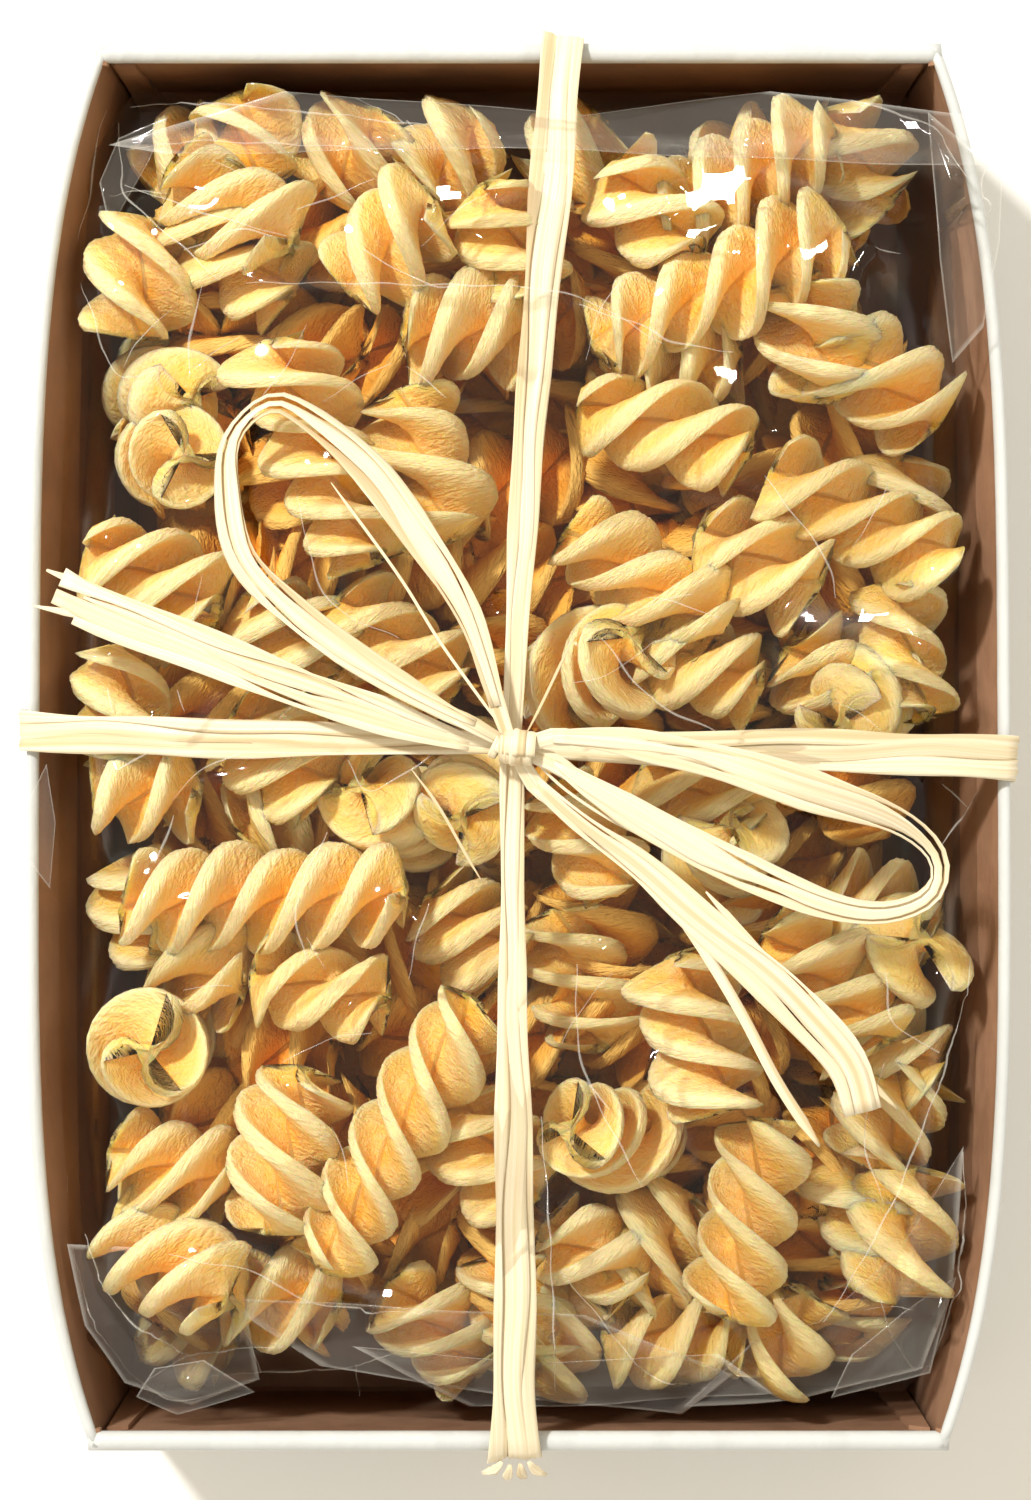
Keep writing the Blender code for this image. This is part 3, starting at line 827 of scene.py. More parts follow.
def make_base():
    """The bottom of the tray: brown above, white below, with a slight sag between the folds."""
    bm = bmesh.new()
    shade = facts(bm)[0]
    grids = []
    for z, inset in ((FLOOR_Z, 0.3 * MM), (tray_low.z, 0.05 * MM)):
        grid = []
        for i in range(25):
            y = (i / 12.0 - 1.0) * (TRAY_HALF_LENGTH - inset)
            row = []
            for k in range(17):
                x = (k / 8.0 - 1.0) * (wall_half_width(y, tray_low.z) - inset)
                ripple = 0.12 * MM * math.sin(70.0 * x + 40.0 * y) if z > tray_low.z else 0.0
                vert = bm.verts.new((x, y, z + ripple))
                vert[shade] = 0.0
                row.append(vert)
            grid.append(row)
        grids.append(grid)
    for index, grid in ((1, grids[0]), (0, grids[1])):
        for low, high in zip(grid, grid[1:]):
            for k in range(16):
                face = bm.faces.new((low[k], low[k + 1], high[k + 1], high[k]))
                face.material_index = index
    top, bottom = grids
    for upper, lower in ((top[0], bottom[0]), (top[-1], bottom[-1]),
                         ([r[0] for r in top], [r[0] for r in bottom]),
                         ([r[-1] for r in top], [r[-1] for r in bottom])):
        for k in range(len(upper) - 1):
            bm.faces.new((upper[k], upper[k + 1], lower[k + 1], lower[k]))
    base = finish_piece("tray_base", bm, white_card)
    base.data.materials.append(brown_card)
    return base


def make_tabs():
    """Corner tabs inside the end walls, and their curled ends that show at the rim."""
    bm = bmesh.new()
    shade = facts(bm)[0]
    for end in (1, -1):
        for side in (1, -1):
            inner_y = TRAY_HALF_LENGTH - 1.6 * MM
            half = TRAY_BASE_HALF - end * 0.45 * MM - 1.4 * MM
            outline = ((half, FLOOR_Z), (half - 4.2 * MM, FLOOR_Z), (half - 2.4 * MM, RIM_Z * 0.86),
                       (half, RIM_Z * 0.9))
            rings = []
            for depth in (0.0, 0.55 * MM):
                ring = [bm.verts.new((side * x, end * (inner_y - depth), z)) for x, z in outline]
                rings.append(ring)
            for vert in rings[1]:
                vert[shade] = 0.3
            join_rings(bm, rings)
            for ring in rings:
                bm.faces.new(ring)
            curl = []
            for step in range(9):
                angle = math.tau * step / 9
                curl.append((math.cos(angle) * 0.8 * MM, math.sin(angle) * 0.8 * MM))
            rings = []
            for run, size in ((0.0, 1.0), (1.2 * MM, 1.0), (1.9 * MM, 0.6)):
                x = side * (half + 1.15 * MM)
                y = end * (TRAY_HALF_LENGTH - 2.6 * MM + run)
                rings.append([bm.verts.new((x + a * size, y, RIM_Z - 1.3 * MM + b * size))
                              for a, b in curl])
            join_rings(bm, rings)
            for ring in (rings[0], rings[-1]):
                bm.faces.new(ring)
    return finish_piece("tray_corner_tabs", bm, brown_card, smooth=False)


for piece in (make_tray(), make_base(), make_tabs()):
    print(piece.name, len(piece.data.polygons), "faces")

# %% [markdown]
# ## One spiral of pasta
#
# Fusilli come out of a bronze die with three blades round a thin core, twisting as they go.
# Seen from the end the blades curve like a pinwheel. The rough die leaves a leathery, floury
# skin. Its colour is painted from how far out on a blade each point lies: pale at the blades'
# edges, partly the floury skin and partly a painted highlight, and amber down in the grooves,
# a painted shade and glow for the light that comes through the pasta there. Each spiral here
# is its own twisted mesh. Its section of three curved blades is carried along a slightly bent
# axis, and its pitch, width, bend and cut ends all vary.

# %% Section of three blades
# Places along a blade, from its root to its rim, and the share of full thickness at each.
BLADE_STEPS = ((0.20, 0.92), (0.36, 1.0), (0.56, 1.0), (0.76, 1.0), (0.91, 1.0), (0.97, 0.88),
               (1.0, 0.60))
PASTA_RADIUS = 7.1 * MM
PASTA_PITCH = 19.0 * MM
BLADE_THICKNESS = 1.85 * MM


def blade_section(hook, thickness, pitch, root):
    """Points round three blades: angle, radius share, blade, and the turn off its middle."""
    points = []
    for blade in range(3):
        turn = math.tau * blade / 3
        sides = []
        for side in (-1, 1):
            line = []
            for r, share in BLADE_STEPS:
                # A blade that leans along the axis is cut wider the further out it is.
                lean = math.sqrt(1.0 + (math.tau * r * PASTA_RADIUS / pitch) ** 2)
                half = min(0.5 * thickness * share * lean / (r * PASTA_RADIUS), 0.80)
                line.append((turn + hook * r ** 1.8, r, blade, side * half))
            sides.append(line)
        points += sides[0]
        points.append((turn + hook, 1.0, blade, 0.0))
        points += sides[1][::-1]
        points.append((turn + math.radians(60.0), root, blade, 0.0))
    return points


# A blade is pinched and cut back over this much of its length at each end.
END_RUN = 2.6 * MM


def add_spiral(bm, layers, centre, heading, tilt, spin, length, rng, step=0.8 * MM):
    """One fusillo, its middle at centre. It heads round from +X and tilts up from level."""
    shade, tone, grain = layers
    heading, tilt, spin = (math.radians(a) for a in (heading, tilt, spin))
    axis = Vector((math.cos(heading) * math.cos(tilt), math.sin(heading) * math.cos(tilt),
                   math.sin(tilt)))
    side = axis.cross(UP)
    side = side.normalized() if side.length > 0.05 else Vector((1.0, 0.0, 0.0))
    above = side.cross(axis).normalized()
    size = PASTA_RADIUS * rng.uniform(0.93, 1.05)
    pitch = PASTA_PITCH * rng.uniform(0.86, 1.16)
    hook = rng.uniform(0.45, 0.95) * rng.choice((-1, 1))
    section = blade_section(hook, BLADE_THICKNESS * rng.uniform(0.85, 1.15), pitch, 0.15)
    bend = rng.uniform(-0.07, 0.07) * length
    widths = [rng.uniform(0.80, 1.05) for _ in range(3)]
    waves = [rng.uniform(0.0, math.tau) for _ in range(7)]
    ends = [[rng.uniform(0.0, END_RUN) for _ in range(3)] for _ in range(2)]
    own_tone = rng.random()
    own_place = Vector([rng.uniform(0.0, 1.0) for _ in range(3)])
    count = max(10, round(length / step))
    rings = []
    for i in range(count + 1):
        run = length * i / count
        twist = spin + math.tau * run / pitch + 0.22 * math.sin(run / (6.0 * MM) + waves[6])
        lean = 2.0 * run / length - 1.0
        middle = centre + axis * (run - length / 2) + above * bend * (lean * lean - 0.4)
        pinch = 0.42 + 0.58 * min(1.0, min(run, length - run) / (END_RUN))
        ring = []
        for angle, r, blade, off in section:
            slow = math.sin(run / (5.5 * MM) + waves[blade]) * 0.085
            fine = math.sin(run / (1.9 * MM) + waves[blade + 3]) * 0.014
            reach = size * (1.0 + (widths[blade] + slow + fine - 1.0) * r)
            first = run + 0.6 * MM + ends[0][blade] * 0.5
            last = length - run + 0.6 * MM + ends[1][blade] * 0.5
            corner = min(1.0, min(first, last) / (END_RUN))
            reach *= 1.0 - 0.24 * r * (1.0 - corner) ** 2
            lag = (ends[0][blade] if lean < 0 else -ends[1][blade]) * r * max(0.0, abs(lean) - 0.55) / 0.45
            around = angle + off * pinch + twist
            out = (side * math.cos(around) + above * math.sin(around)) * r * reach
            vert = bm.verts.new(middle + out + axis * lag)
            # Shade rises from the blade's root to its rim; the material paints amber shade in the grooves
            # and a pale highlight on the rims from it.
            vert[shade] = r if r > 0.16 else 0.0
            vert[tone] = own_tone
            vert[grain] = Vector((r * size, (off * r + blade) * size, run)) + own_place
            ring.append(vert)
        rings.append(ring)
    join_rings(bm, rings)
    for ring in (rings[0], rings[-1]):
        # The cut ends are given a high shade, so they are painted pale like the lit rims.
        hub = bm.verts.new(sum((v.co for v in ring), Vector()) / len(ring))
        hub[shade] = 0.75
        hub[tone] = own_tone
        hub[grain] = ring[0][grain]
        for vert in ring:
            vert[shade] = max(vert[shade], 0.6)
        fan(bm, ring, hub)


print("a blade section has", len(blade_section(0.4, BLADE_THICKNESS, PASTA_PITCH, 0.15)), "points")

# %% Pasta materials
def make_pasta(name, pale, mid, deep, glow):
    """Dry semolina: golden blades with a leathery skin, rims painted pale as a highlight on the floury
    edge, and grooves painted amber as shade and glow.
    """
    material, tree, shader = new_material(
        name, Specular_IOR_Level=0.12, Subsurface_Weight=glow, Subsurface_Scale=0.0026
    )
    shader.inputs["Subsurface Radius"].default_value = (1.0, 0.42, 0.10)
    grain = fact(tree, "grain").outputs["Vector"]
    shade = fact(tree, "shade").outputs["Fac"]
    tone = fact(tree, "tone").outputs["Fac"]
    patches = use_group(tree, MOTTLE, grain, 140.0)
    skin = use_group(tree, PEBBLE, grain, 1500.0)
    # Painted shade and glow: deep amber at the roots of the blades, golden further out, and a painted
    # highlight in pale at the rims.
    groove = mix_colours(tree, spread(tree, shade, 0.05, 0.80), deep, mid)
    rim = mix_colours(tree, spread(tree, shade, 0.80, 0.97, 0.0, 0.9), groove, pale)
    flour = spread(tree, patches.outputs[0], 0.40, 0.64, 0.0, 0.45)
    dusty = mix_colours(tree, flour, rim, pale)
    wrinkled = mix_colours(tree, spread(tree, skin.outputs[0], 0.48, 0.72, 0.0, 0.32), dusty, pale)
    warm = mix_colours(tree, math_node(tree, "MULTIPLY", tone, 0.25), wrinkled, mid)
    tree.links.new(warm, shader.inputs["Base Color"])
    tree.links.new(spread(tree, skin.outputs[0], 0.2, 0.8, 0.62, 0.46), shader.inputs["Roughness"])
    add_bump(tree, shader, skin.outputs[0], 1.0, 0.0006)
    return material


# Pale is a painted highlight on the rims and deep is painted amber shade and glow in the grooves.
pasta = make_pasta("dry_pasta", (0.95, 0.81, 0.49), (0.95, 0.64, 0.18), (0.97, 0.44, 0.02), 0.5)
# A darker, more saturated copy of the pasta: painted shade for the spirals lower in the heap and for the
# core.
painted_shade_pasta = make_pasta("shaded_pasta", (0.95, 0.62, 0.18), (0.94, 0.48, 0.06), (0.80, 0.27, 0.01), 0.0)
print("pasta materials")

# %% [markdown]
# ## The heap
#
# The spirals on top are placed one by one, because their sizes and directions give the packet
# its look. Each line gives the middle in millimetres, the heading from +X and the tilt in
# degrees, the turn about its own axis, and the length. Below them two layers are scattered on
# a jittered grid, and under those a lumpy core fills the bag, since nobody can see that deep.

# %% Spirals on top of the heap
TOP_SPIRALS = (
    (-34.3, 64.7, 41, -32, 8, 40, 19), (-33.2, 76.5, 35, -82, 15, 0, 13),
    (-15.5, 60.3, 43, 48, 10, 120, 16), (-20.0, 76.3, 32, 56, 12, 60, 13),
    (-1.0, 60.4, 42, -62, -10, 20, 16), (16.3, 63.9, 42, -47, 0, 90, 16),
    (26.4, 68.1, 39, 27, 6, 10, 27), (40.7, 71.8, 34, -52, -12, 150, 15),
    (23.8, 55.0, 43, 25, 4, 0, 34), (35.8, 48.7, 42, -75, -6, 70, 16),
    (47.2, 44.4, 40, -38, -8, 30, 19), (-50.2, 56.7, 38, -97, 0, 60, 15),
    (-33.7, 59.8, 37, -44, 0, 200, 17), (-23.7, 35.2, 43, -65, 0, 15, 30),
    (-11.1, 33.8, 41, -72, 0, 100, 20), (-6.5, 50.0, 41, 4, 5, 45, 16),
    (-42.4, 35.6, 41, 345, 74, 20, 20), (-52.0, 43.3, 38, 340, 66, 80, 20),
    (17.5, 38.1, 42, -15, 4, 130, 22), (19.9, 46.0, 36, 20, 0, 0, 16),
    (41.0, 27.5, 41, -24, -4, 60, 25), (15.1, 19.9, 42, -33, 0, 110, 23),
    (28.8, 22.4, 41, -25, 4, 10, 17), (22.1, 9.9, 40, -22, 0, 75, 16),
    (8.8, 9.0, 43, 40, 52, 10, 20), (50.0, 11.4, 38, -76, 0, 40, 18),
    (41.9, 6.6, 41, 232, 60, 140, 20), (38.0, 8.1, 37, -40, 0, 90, 15),
    (-44.0, 19.7, 39, -29, 0, 30, 19), (-50.5, 4.8, 38, -83, 0, 80, 16),
    (-44.7, -5.4, 39, 13, 6, 15, 14), (-28.7, -1.0, 40, -36, 0, 60, 16),
    (-30.3, -18.0, 43, 3, 2, 0, 35), (-15.2, -7.8, 41, 140, 58, 40, 20),
    (-6.0, -5.4, 42, 252, 64, 160, 20), (-44.1, -36.3, 42, 240, 86, 25, 20),
    (-38.5, -26.9, 38, -23, 10, 90, 13), (-23.8, -29.2, 41, -11, 6, 30, 18),
    (-14.3, -46.3, 44, 61, 2, 10, 38), (-27.8, -48.3, 42, -102, 0, 70, 21),
    (-42.1, -50.5, 38, -17, 0, 110, 16), (-41.6, -62.6, 40, -27, 28, 20, 19),
    (-29.6, -66.7, 34, -4, 0, 60, 17), (-10.0, -74.0, 33, -45, -8, 0, 17),
    (11.5, -47.0, 43, 165, 50, 90, 20), (9.0, -61.5, 37, -30, 0, 30, 15),
    (27.4, -56.6, 42, -99, 0, 45, 25), (19.3, -72.0, 33, 4, 0, 80, 19),
    (32.4, -72.0, 34, -111, -12, 15, 14), (47.3, -58.7, 37, -98, -6, 70, 17),
    (50.5, -45.0, 35, -113, 0, 100, 14), (21.6, -34.3, 42, -73, 0, 10, 20),
    (49.1, -28.4, 38, 61, 48, 30, 20), (37.3, -28.4, 40, -43, 0, 60, 21),
    (7.5, -28.4, 33, -72, 0, 120, 19), (8.0, -10.9, 40, -53, 0, 0, 16),
    (24.5, -13.9, 39, 80, 54, 70, 20), (44.5, -20.5, 32, -13, 0, 20, 16),
    (-5.9, -22.3, 34, -31, 0, 90, 14), (-3.4, -48.7, 38, -51, 0, 40, 17),
    (16.6, -60.6, 34, -122, 0, 75, 16), (-14.9, 12.3, 37, -35, 0, 30, 19),
    (-27.5, 13.6, 35, -43, 0, 120, 16), (22.0, -6.4, 36, -34, 0, 15, 17),
    (47.1, -36.6, 34, -27, 0, 85, 15), (-8.4, 74.2, 32, 53, 0, 10, 13),
    (41.7, -55.4, 32, -72, 0, 5, 15), (-44.9, 73.5, 27, 45, 0, 50, 13),
    (4.5, -74.0, 32, 68, 0, 130, 15), (6.6, 74.0, 30, 54, 0, 95, 13), (27.3, 75.0, 28, 32, 0, 20, 13),
    (-28.5, -7.1, 33, 38, 0, 35, 14), (-51.0, -19.8, 34, -63, 0, 55, 14),
    (50.5, 29.5, 33, -85, 0, 20, 13), (0.2, -68.7, 33, -72, 0, 100, 15),
    (20.0, -74.5, 26, -63, 0, 10, 13), (44.9, -70.0, 24, -63, 0, 60, 13),
    (-41.1, -73.0, 20, -17, 0, 0, 13),
)


def inside_tray(x, y, z, heading, tilt, length):
    """Move a spiral's middle in until all of it is clear of the walls."""
    ahead = math.cos(math.radians(heading)) * math.cos(math.radians(tilt))
    across = math.sin(math.radians(heading)) * math.cos(math.radians(tilt))
    reach_x = 0.5 * length * abs(ahead) + 7.2 * math.sqrt(1.0 - ahead * ahead)
    reach_y = 0.5 * length * abs(across) + 7.2 * math.sqrt(1.0 - across * across)
    limit_y = TRAY_HALF_LENGTH / MM - 2.6 - reach_y
    y = max(-limit_y, min(limit_y, y))
    limit_x = wall_half_width(y * MM, z * MM) / MM - 2.4 - reach_x
    return max(-limit_x, min(limit_x, x)), y


def heap_piece(name, spirals, material, step, seed):
    """Joined spirals as one piece."""
    rng = random.Random(seed)
    bm = bmesh.new()
    layers = facts(bm)
    for x, y, z, heading, tilt, spin, length in spirals:
        # An end-on spiral stands down into the heap, so its upper end is what the height gives.
        drop = max(0.0, math.sin(math.radians(tilt)) * length / 2 - 4.0) if tilt > 40 else 0.0
        x, y = inside_tray(x, y, z - drop, heading, tilt, length)
        centre = Vector((x, y, z - drop)) * MM
        add_spiral(bm, layers, centre, heading, tilt, spin, length * MM, rng, step)
    piece = finish_piece(name, bm, material)
    print(name, len(spirals), "spirals,", 2 * len(piece.data.polygons), "triangles")
    return piece


top_heap = heap_piece("fusilli_on_top", TOP_SPIRALS, pasta, 0.8 * MM, 21)

# %% Scattered layers below
def scatter_layer(level, spacing, seed):
    """Spirals on a jittered grid inside the tray, at one height."""
    rng = random.Random(seed)
    found = []
    rows = int(150 / spacing)
    for row in range(rows):
        y = -70.0 + 140.0 * (row + 0.5) / rows
        half = wall_half_width(y * MM, level * MM) / MM - 10.0
        columns = int(2 * half / spacing) + 1
        for column in range(columns):
            x = -half + 2 * half * (column + 0.5) / columns
            found.append((
                x + rng.uniform(-3.0, 3.0), y + rng.uniform(-3.0, 3.0), level + rng.uniform(-2.5, 2.5),
                rng.uniform(0.0, 360.0), rng.uniform(-14.0, 14.0), rng.uniform(0.0, 120.0),
                rng.uniform(13.0, 21.0),
            ))
    return found


# The lower layers lie in the shade of the top spirals, which their darker pasta paints.
second_layer = heap_piece("fusilli_second_layer", scatter_layer(28.0, 14.5, 31), painted_shade_pasta,
                          1.1 * MM, 32)
third_layer = heap_piece("fusilli_third_layer", scatter_layer(17.0, 16.0, 33), painted_shade_pasta,
                         1.5 * MM, 34)

# %% Core under the spirals
def make_core():
    """A lumpy pillow that fills the bag below the spirals, in the darker pasta that paints shade."""
    bm = bmesh.new()
    layers = facts(bm)
    rings = []
    segments = 90
    levels = ((0.90, 2.9), (0.96, 6.0), (0.96, 10.0), (0.90, 13.0), (0.72, 15.0), (0.50, 16.0),
              (0.25, 16.0))
    for share, z in levels:
        ring = []
        for i in range(segments):
            angle = math.tau * (i + 0.5) / segments
            across = math.copysign(abs(math.cos(angle)) ** 0.35, math.cos(angle))
            along = math.copysign(abs(math.sin(angle)) ** 0.35, math.sin(angle))
            y = along * (bag_high.y - 3.0 * MM) * share
            x = across * (wall_half_width(y, z * MM) - 3.5 * MM) * share
            lump = 1.6 * math.sin(x / (3.1 * MM)) * math.sin(y / (3.7 * MM)) if z > 9.0 else 0.0
            vert = bm.verts.new((x, y, (z + lump) * MM))
            # Shade follows the lumps, so their hollows are painted a deeper amber as shade.
            vert[layers[0]] = 0.5 + 0.2 * lump
            vert[layers[2]] = vert.co
            ring.append(vert)
        rings.append(ring)
    join_rings(bm, rings)
    bm.faces.new(rings[0])
    fan(bm, rings[-1], bm.verts.new((0.0, 0.0, 16.0 * MM)))
    return finish_piece("pasta_core", bm, painted_shade_pasta)


core = make_core()
print("core", len(core.data.polygons), "faces")

# %% [markdown]
# ## Clear film
#
# The bag is stiff clear film. It spans from one spiral's top to the next, dips a little between
# them and is full of straight creases, and its facets throw back hard little lights. Cloth
# would drape too softly for it. So a fine grid starts well above the heap and is drawn down
# over it like a skin under tension: each point takes the mean of its neighbours, but never
# drops below what lies under it. Creases are then folded in along straight lines.

# %% Height of the heap under each grid point
FILM_STEP = 0.72 * MM
FILM_HALF_LENGTH = 80.4 * MM
film_rows = int(2 * FILM_HALF_LENGTH / FILM_STEP)
film_columns = 156


def film_place(u, v):
    """Across and along shares, from -1 to 1, to a place inside the tray."""
    y = v * FILM_HALF_LENGTH
    half = wall_half_width(y, RIM_Z * 0.92) - 1.9 * MM
    corner = 1.0 - 0.05 * max(0.0, abs(v) - 0.9) / 0.1
    return u * half * corner, y


def heap_tree():
    """One search tree over every spiral."""
    points, faces = [], []
    for piece in (top_heap, second_layer, third_layer):
        start = len(points)
        points += [vert.co.copy() for vert in piece.data.vertices]
        faces += [[start + k for k in face.vertices] for face in piece.data.polygons]
    return BVHTree.FromPolygons(points, faces)


def heap_heights():
    """The top of the heap under each grid point."""
    tree = heap_tree()
    xs = np.zeros((film_rows + 1, film_columns + 1))
    ys = np.zeros_like(xs)
    tops = np.full_like(xs, 12.0 * MM)
    for i in range(film_rows + 1):
        for k in range(film_columns + 1):
            x, y = film_place(2.0 * k / film_columns - 1.0, 2.0 * i / film_rows - 1.0)
            xs[i, k], ys[i, k] = x, y
            hit = tree.ray_cast(Vector((x, y, 70.0 * MM)), -UP)
            if hit[0] is not None:
                tops[i, k] = hit[0].z
    return xs, ys, tops


film_x, film_y, heap_z = heap_heights()
print("film grid", heap_z.shape, "heap top", round(float(heap_z.max()) / MM, 1), "mm")

# %% Drawing the film down
def neighbour_mean(z):
    """Mean of the four neighbours, with the edges kept."""
    mean = z.copy()
    mean[1:-1, 1:-1] = (z[:-2, 1:-1] + z[2:, 1:-1] + z[1:-1, :-2] + z[1:-1, 2:]) / 4
    return mean


def film_edge_heights():
    """Where the film leaves the heap: low at the ends, and part way down the side walls."""
    along = np.abs(film_y / FILM_HALF_LENGTH)
    across = np.abs(np.linspace(-1.0, 1.0, film_columns + 1))[None, :] + np.zeros_like(film_y)
    front = film_y < 0
    end_z = np.where(front, 22.0 * MM, 30.0 * MM)
    side_z = 33.0 * MM
    share = np.clip((along - 0.90) / 0.10, 0.0, 1.0)
    return side_z * (1 - share) + end_z * share, across


def drawn_film():
    """The skin over the heap, held down along its edge."""
    edge, _ = film_edge_heights()
    floor = np.maximum(heap_z + 0.35 * MM, 14.0 * MM)
    rim_floor = np.minimum(floor, edge + 9.0 * MM)
    z = np.full_like(floor, 51.0 * MM)
    for array in (z, rim_floor):
        array[0, :] = edge[0, :]
        array[-1, :] = edge[-1, :]
        array[:, 0] = edge[:, 0]
        array[:, -1] = edge[:, -1]
    held = np.ones_like(z, dtype=bool)
    held[1:-1, 1:-1] = False
    inner = np.where(held, rim_floor, floor)
    for _ in range(520):
        z = np.maximum(neighbour_mean(z) - 0.0035 * MM, inner)
        z[held] = rim_floor[held]
    return z, floor


film_z, film_floor = drawn_film()
print("film", round(float(film_z.min()) / MM, 1), "to", round(float(film_z.max()) / MM, 1), "mm")

# %% Creases
# Long folds that run across the bag: start and end in millimetres, height and width of the fold.
LONG_CREASES = (
    (-48.0, 74.0, -7.0, 71.0, 1.3, 2.2), (12.0, 72.5, 56.0, 70.0, 1.6, 2.4),
    (20.0, 71.0, 46.0, 62.5, 1.2, 1.6), (-33.0, 55.0, 4.0, 53.5, 0.9, 1.2),
    (4.0, 53.5, 17.0, 48.0, 0.8, 1.2), (-51.0, 66.0, -40.0, 52.0, 1.0, 1.6),
    (-12.0, -1.5, -2.5, -17.0, 0.8, 1.0), (-10.5, -18.0, -13.0, -27.0, 0.8, 1.0),
    (-33.0, -60.0, -14.0, -66.5, 1.2, 1.6), (-14.0, -66.5, -2.0, -70.0, 1.1, 1.8),
    (5.0, -65.0, 27.0, -80.0, 1.3, 2.0), (53.0, -15.0, 45.0, -77.0, 1.1, 1.6),
    (2.5, -45.0, 4.5, -79.0, 0.8, 1.2), (-46.0, -78.0, -25.0, -71.0, 1.0, 1.6),
    (40.0, 62.0, 35.0, 54.0, 0.9, 1.4), (31.0, 16.5, 46.0, 12.0, 1.4, 3.2),
    (24.0, 44.0, 27.0, 41.0, 1.0, 1.5), (-9.0, 62.0, 2.0, 66.0, 1.1, 1.8),
    (-52.0, 30.0, -49.0, -14.0, 0.9, 1.5), (52.0, 62.0, 55.0, 30.0, 0.9, 1.6),
    (38.0, 5.0, 50.0, -6.0, 0.9, 1.3), (-22.0, 38.0, -20.0, 10.0, 0.6, 1.0),
    (14.0, -30.0, 22.0, -52.0, 0.7, 1.0), (-40.0, -40.0, -36.0, -62.0, 0.7, 1.0),
)


def fold_height(x0, y0, x1, y1, height, width):
    """A sharp ridge along one straight line, fading at its ends."""
    run = math.hypot(x1 - x0, y1 - y0)
    ux, uy = (x1 - x0) / run, (y1 - y0) / run
    px, py = film_x / MM - x0, film_y / MM - y0
    along = (px * ux + py * uy) / run
    away = np.abs(-px * uy + py * ux)
    fade = np.clip(np.minimum(along, 1.0 - along) * run / 3.0, 0.0, 1.0)
    return height * MM * fade * np.maximum(0.0, 1.0 - away / width) ** 1.3


def creased_film():
    """Long creases, and many short ones scattered over the bag."""
    rng = random.Random(77)
    z = film_z.copy()
    fold = np.zeros_like(z)
    for crease in LONG_CREASES:
        fold = np.maximum(fold, fold_height(*crease))
    for _ in range(130):
        x = rng.uniform(-54.0, 54.0)
        y = rng.uniform(-79.0, 79.0)
        turn = rng.uniform(0.0, math.pi)
        run = rng.uniform(5.0, 19.0)
        height = rng.uniform(0.2, 0.7)
        fold = np.maximum(fold, fold_height(
            x, y, x + run * math.cos(turn), y + run * math.sin(turn), height, rng.uniform(0.8, 2.0)
        ))
    return z + fold, fold


film_high, film_fold = creased_film()
print("creases up to", round(float(film_fold.max()) / MM, 2), "mm")

# %% Flat facets that face the lamp
# Where a facet of stiff film happens to face the lamp, it throws back a hard white patch.
# Each line: middle, length, width in millimetres, heading in degrees.
GLINTS = (
    (23.0, 65.0, 10.0, 6.5, 38), (21.0, 60.6, 5.5, 2.6, 20), (-13.6, 72.8, 12.5, 1.8, 2),
    (-8.4, 65.2, 4.6, 5.0, 70), (-5.0, 60.4, 3.0, 1.6, 150), (-49.0, 62.0, 2.2, 3.8, 20),
    (-48.2, 75.4, 4.2, 1.0, 85), (35.2, 58.2, 5.4, 3.2, 20), (39.9, 57.0, 4.2, 2.8, 55),
    (41.5, 76.6, 6.0, 1.6, -10), (47.5, 74.0, 6.0, 2.2, -35), (52.2, 68.6, 6.5, 1.6, -62),
    (35.0, 14.8, 6.0, 3.0, -25), (41.5, 15.4, 7.0, 2.8, 8), (46.5, 12.6, 4.5, 1.6, -50),
    (24.8, 43.8, 5.0, 2.4, -40), (30.0, 37.6, 2.2, 1.2, 20), (-11.9, -22.0, 9.0, 1.0, 105),
    (-15.6, -65.2, 4.0, 2.2, 35), (-39.8, -76.6, 3.4, 2.0, 50), (-50.4, -69.4, 4.0, 1.6, 160),
    (-46.6, -70.4, 1.6, 2.8, 20), (3.4, -52.0, 8.0, 0.9, 92), (4.4, -68.0, 7.0, 0.9, 88),
    (50.6, -66.4, 4.0, 1.8, 60), (-19.8, -29.6, 4.4, 1.6, 55), (-28.0, -38.8, 3.4, 1.0, 0),
    (14.8, -37.4, 6.5, 1.2, 60), (43.6, -13.4, 4.2, 1.0, 70), (47.8, -11.6, 3.4, 0.9, 70),
    (50.4, 49.6, 1.4, 3.6, 10), (46.2, 58.0, 1.6, 3.0, 10), (-7.4, -57.2, 4.2, 1.2, 60),
    (-43.4, 3.2, 1.0, 3.4, 10), (9.4, -22.6, 3.6, 1.0, 30), (-3.0, 17.0, 2.4, 1.0, 60),
    (33.4, -31.6, 3.0, 1.0, 120), (-27.2, 24.8, 3.2, 0.9, 70), (-38.0, 45.4, 2.0, 1.0, 20),
    (29.0, -70.0, 5.0, 1.2, 25), (12.0, -73.0, 5.0, 1.2, 10), (40.6, -40.6, 3.0, 1.2, 75),
)


def facing_slope(x, y, z):
    """Slope of a facet at a place that mirrors the lamp to the eye."""
    place = Vector((x * MM, y * MM, z))
    to_lamp = (LAMP_PLACE - place).normalized()
    to_eye = (camera.location - place).normalized()
    normal = (to_lamp + to_eye).normalized()
    return -normal.x / normal.z, -normal.y / normal.z


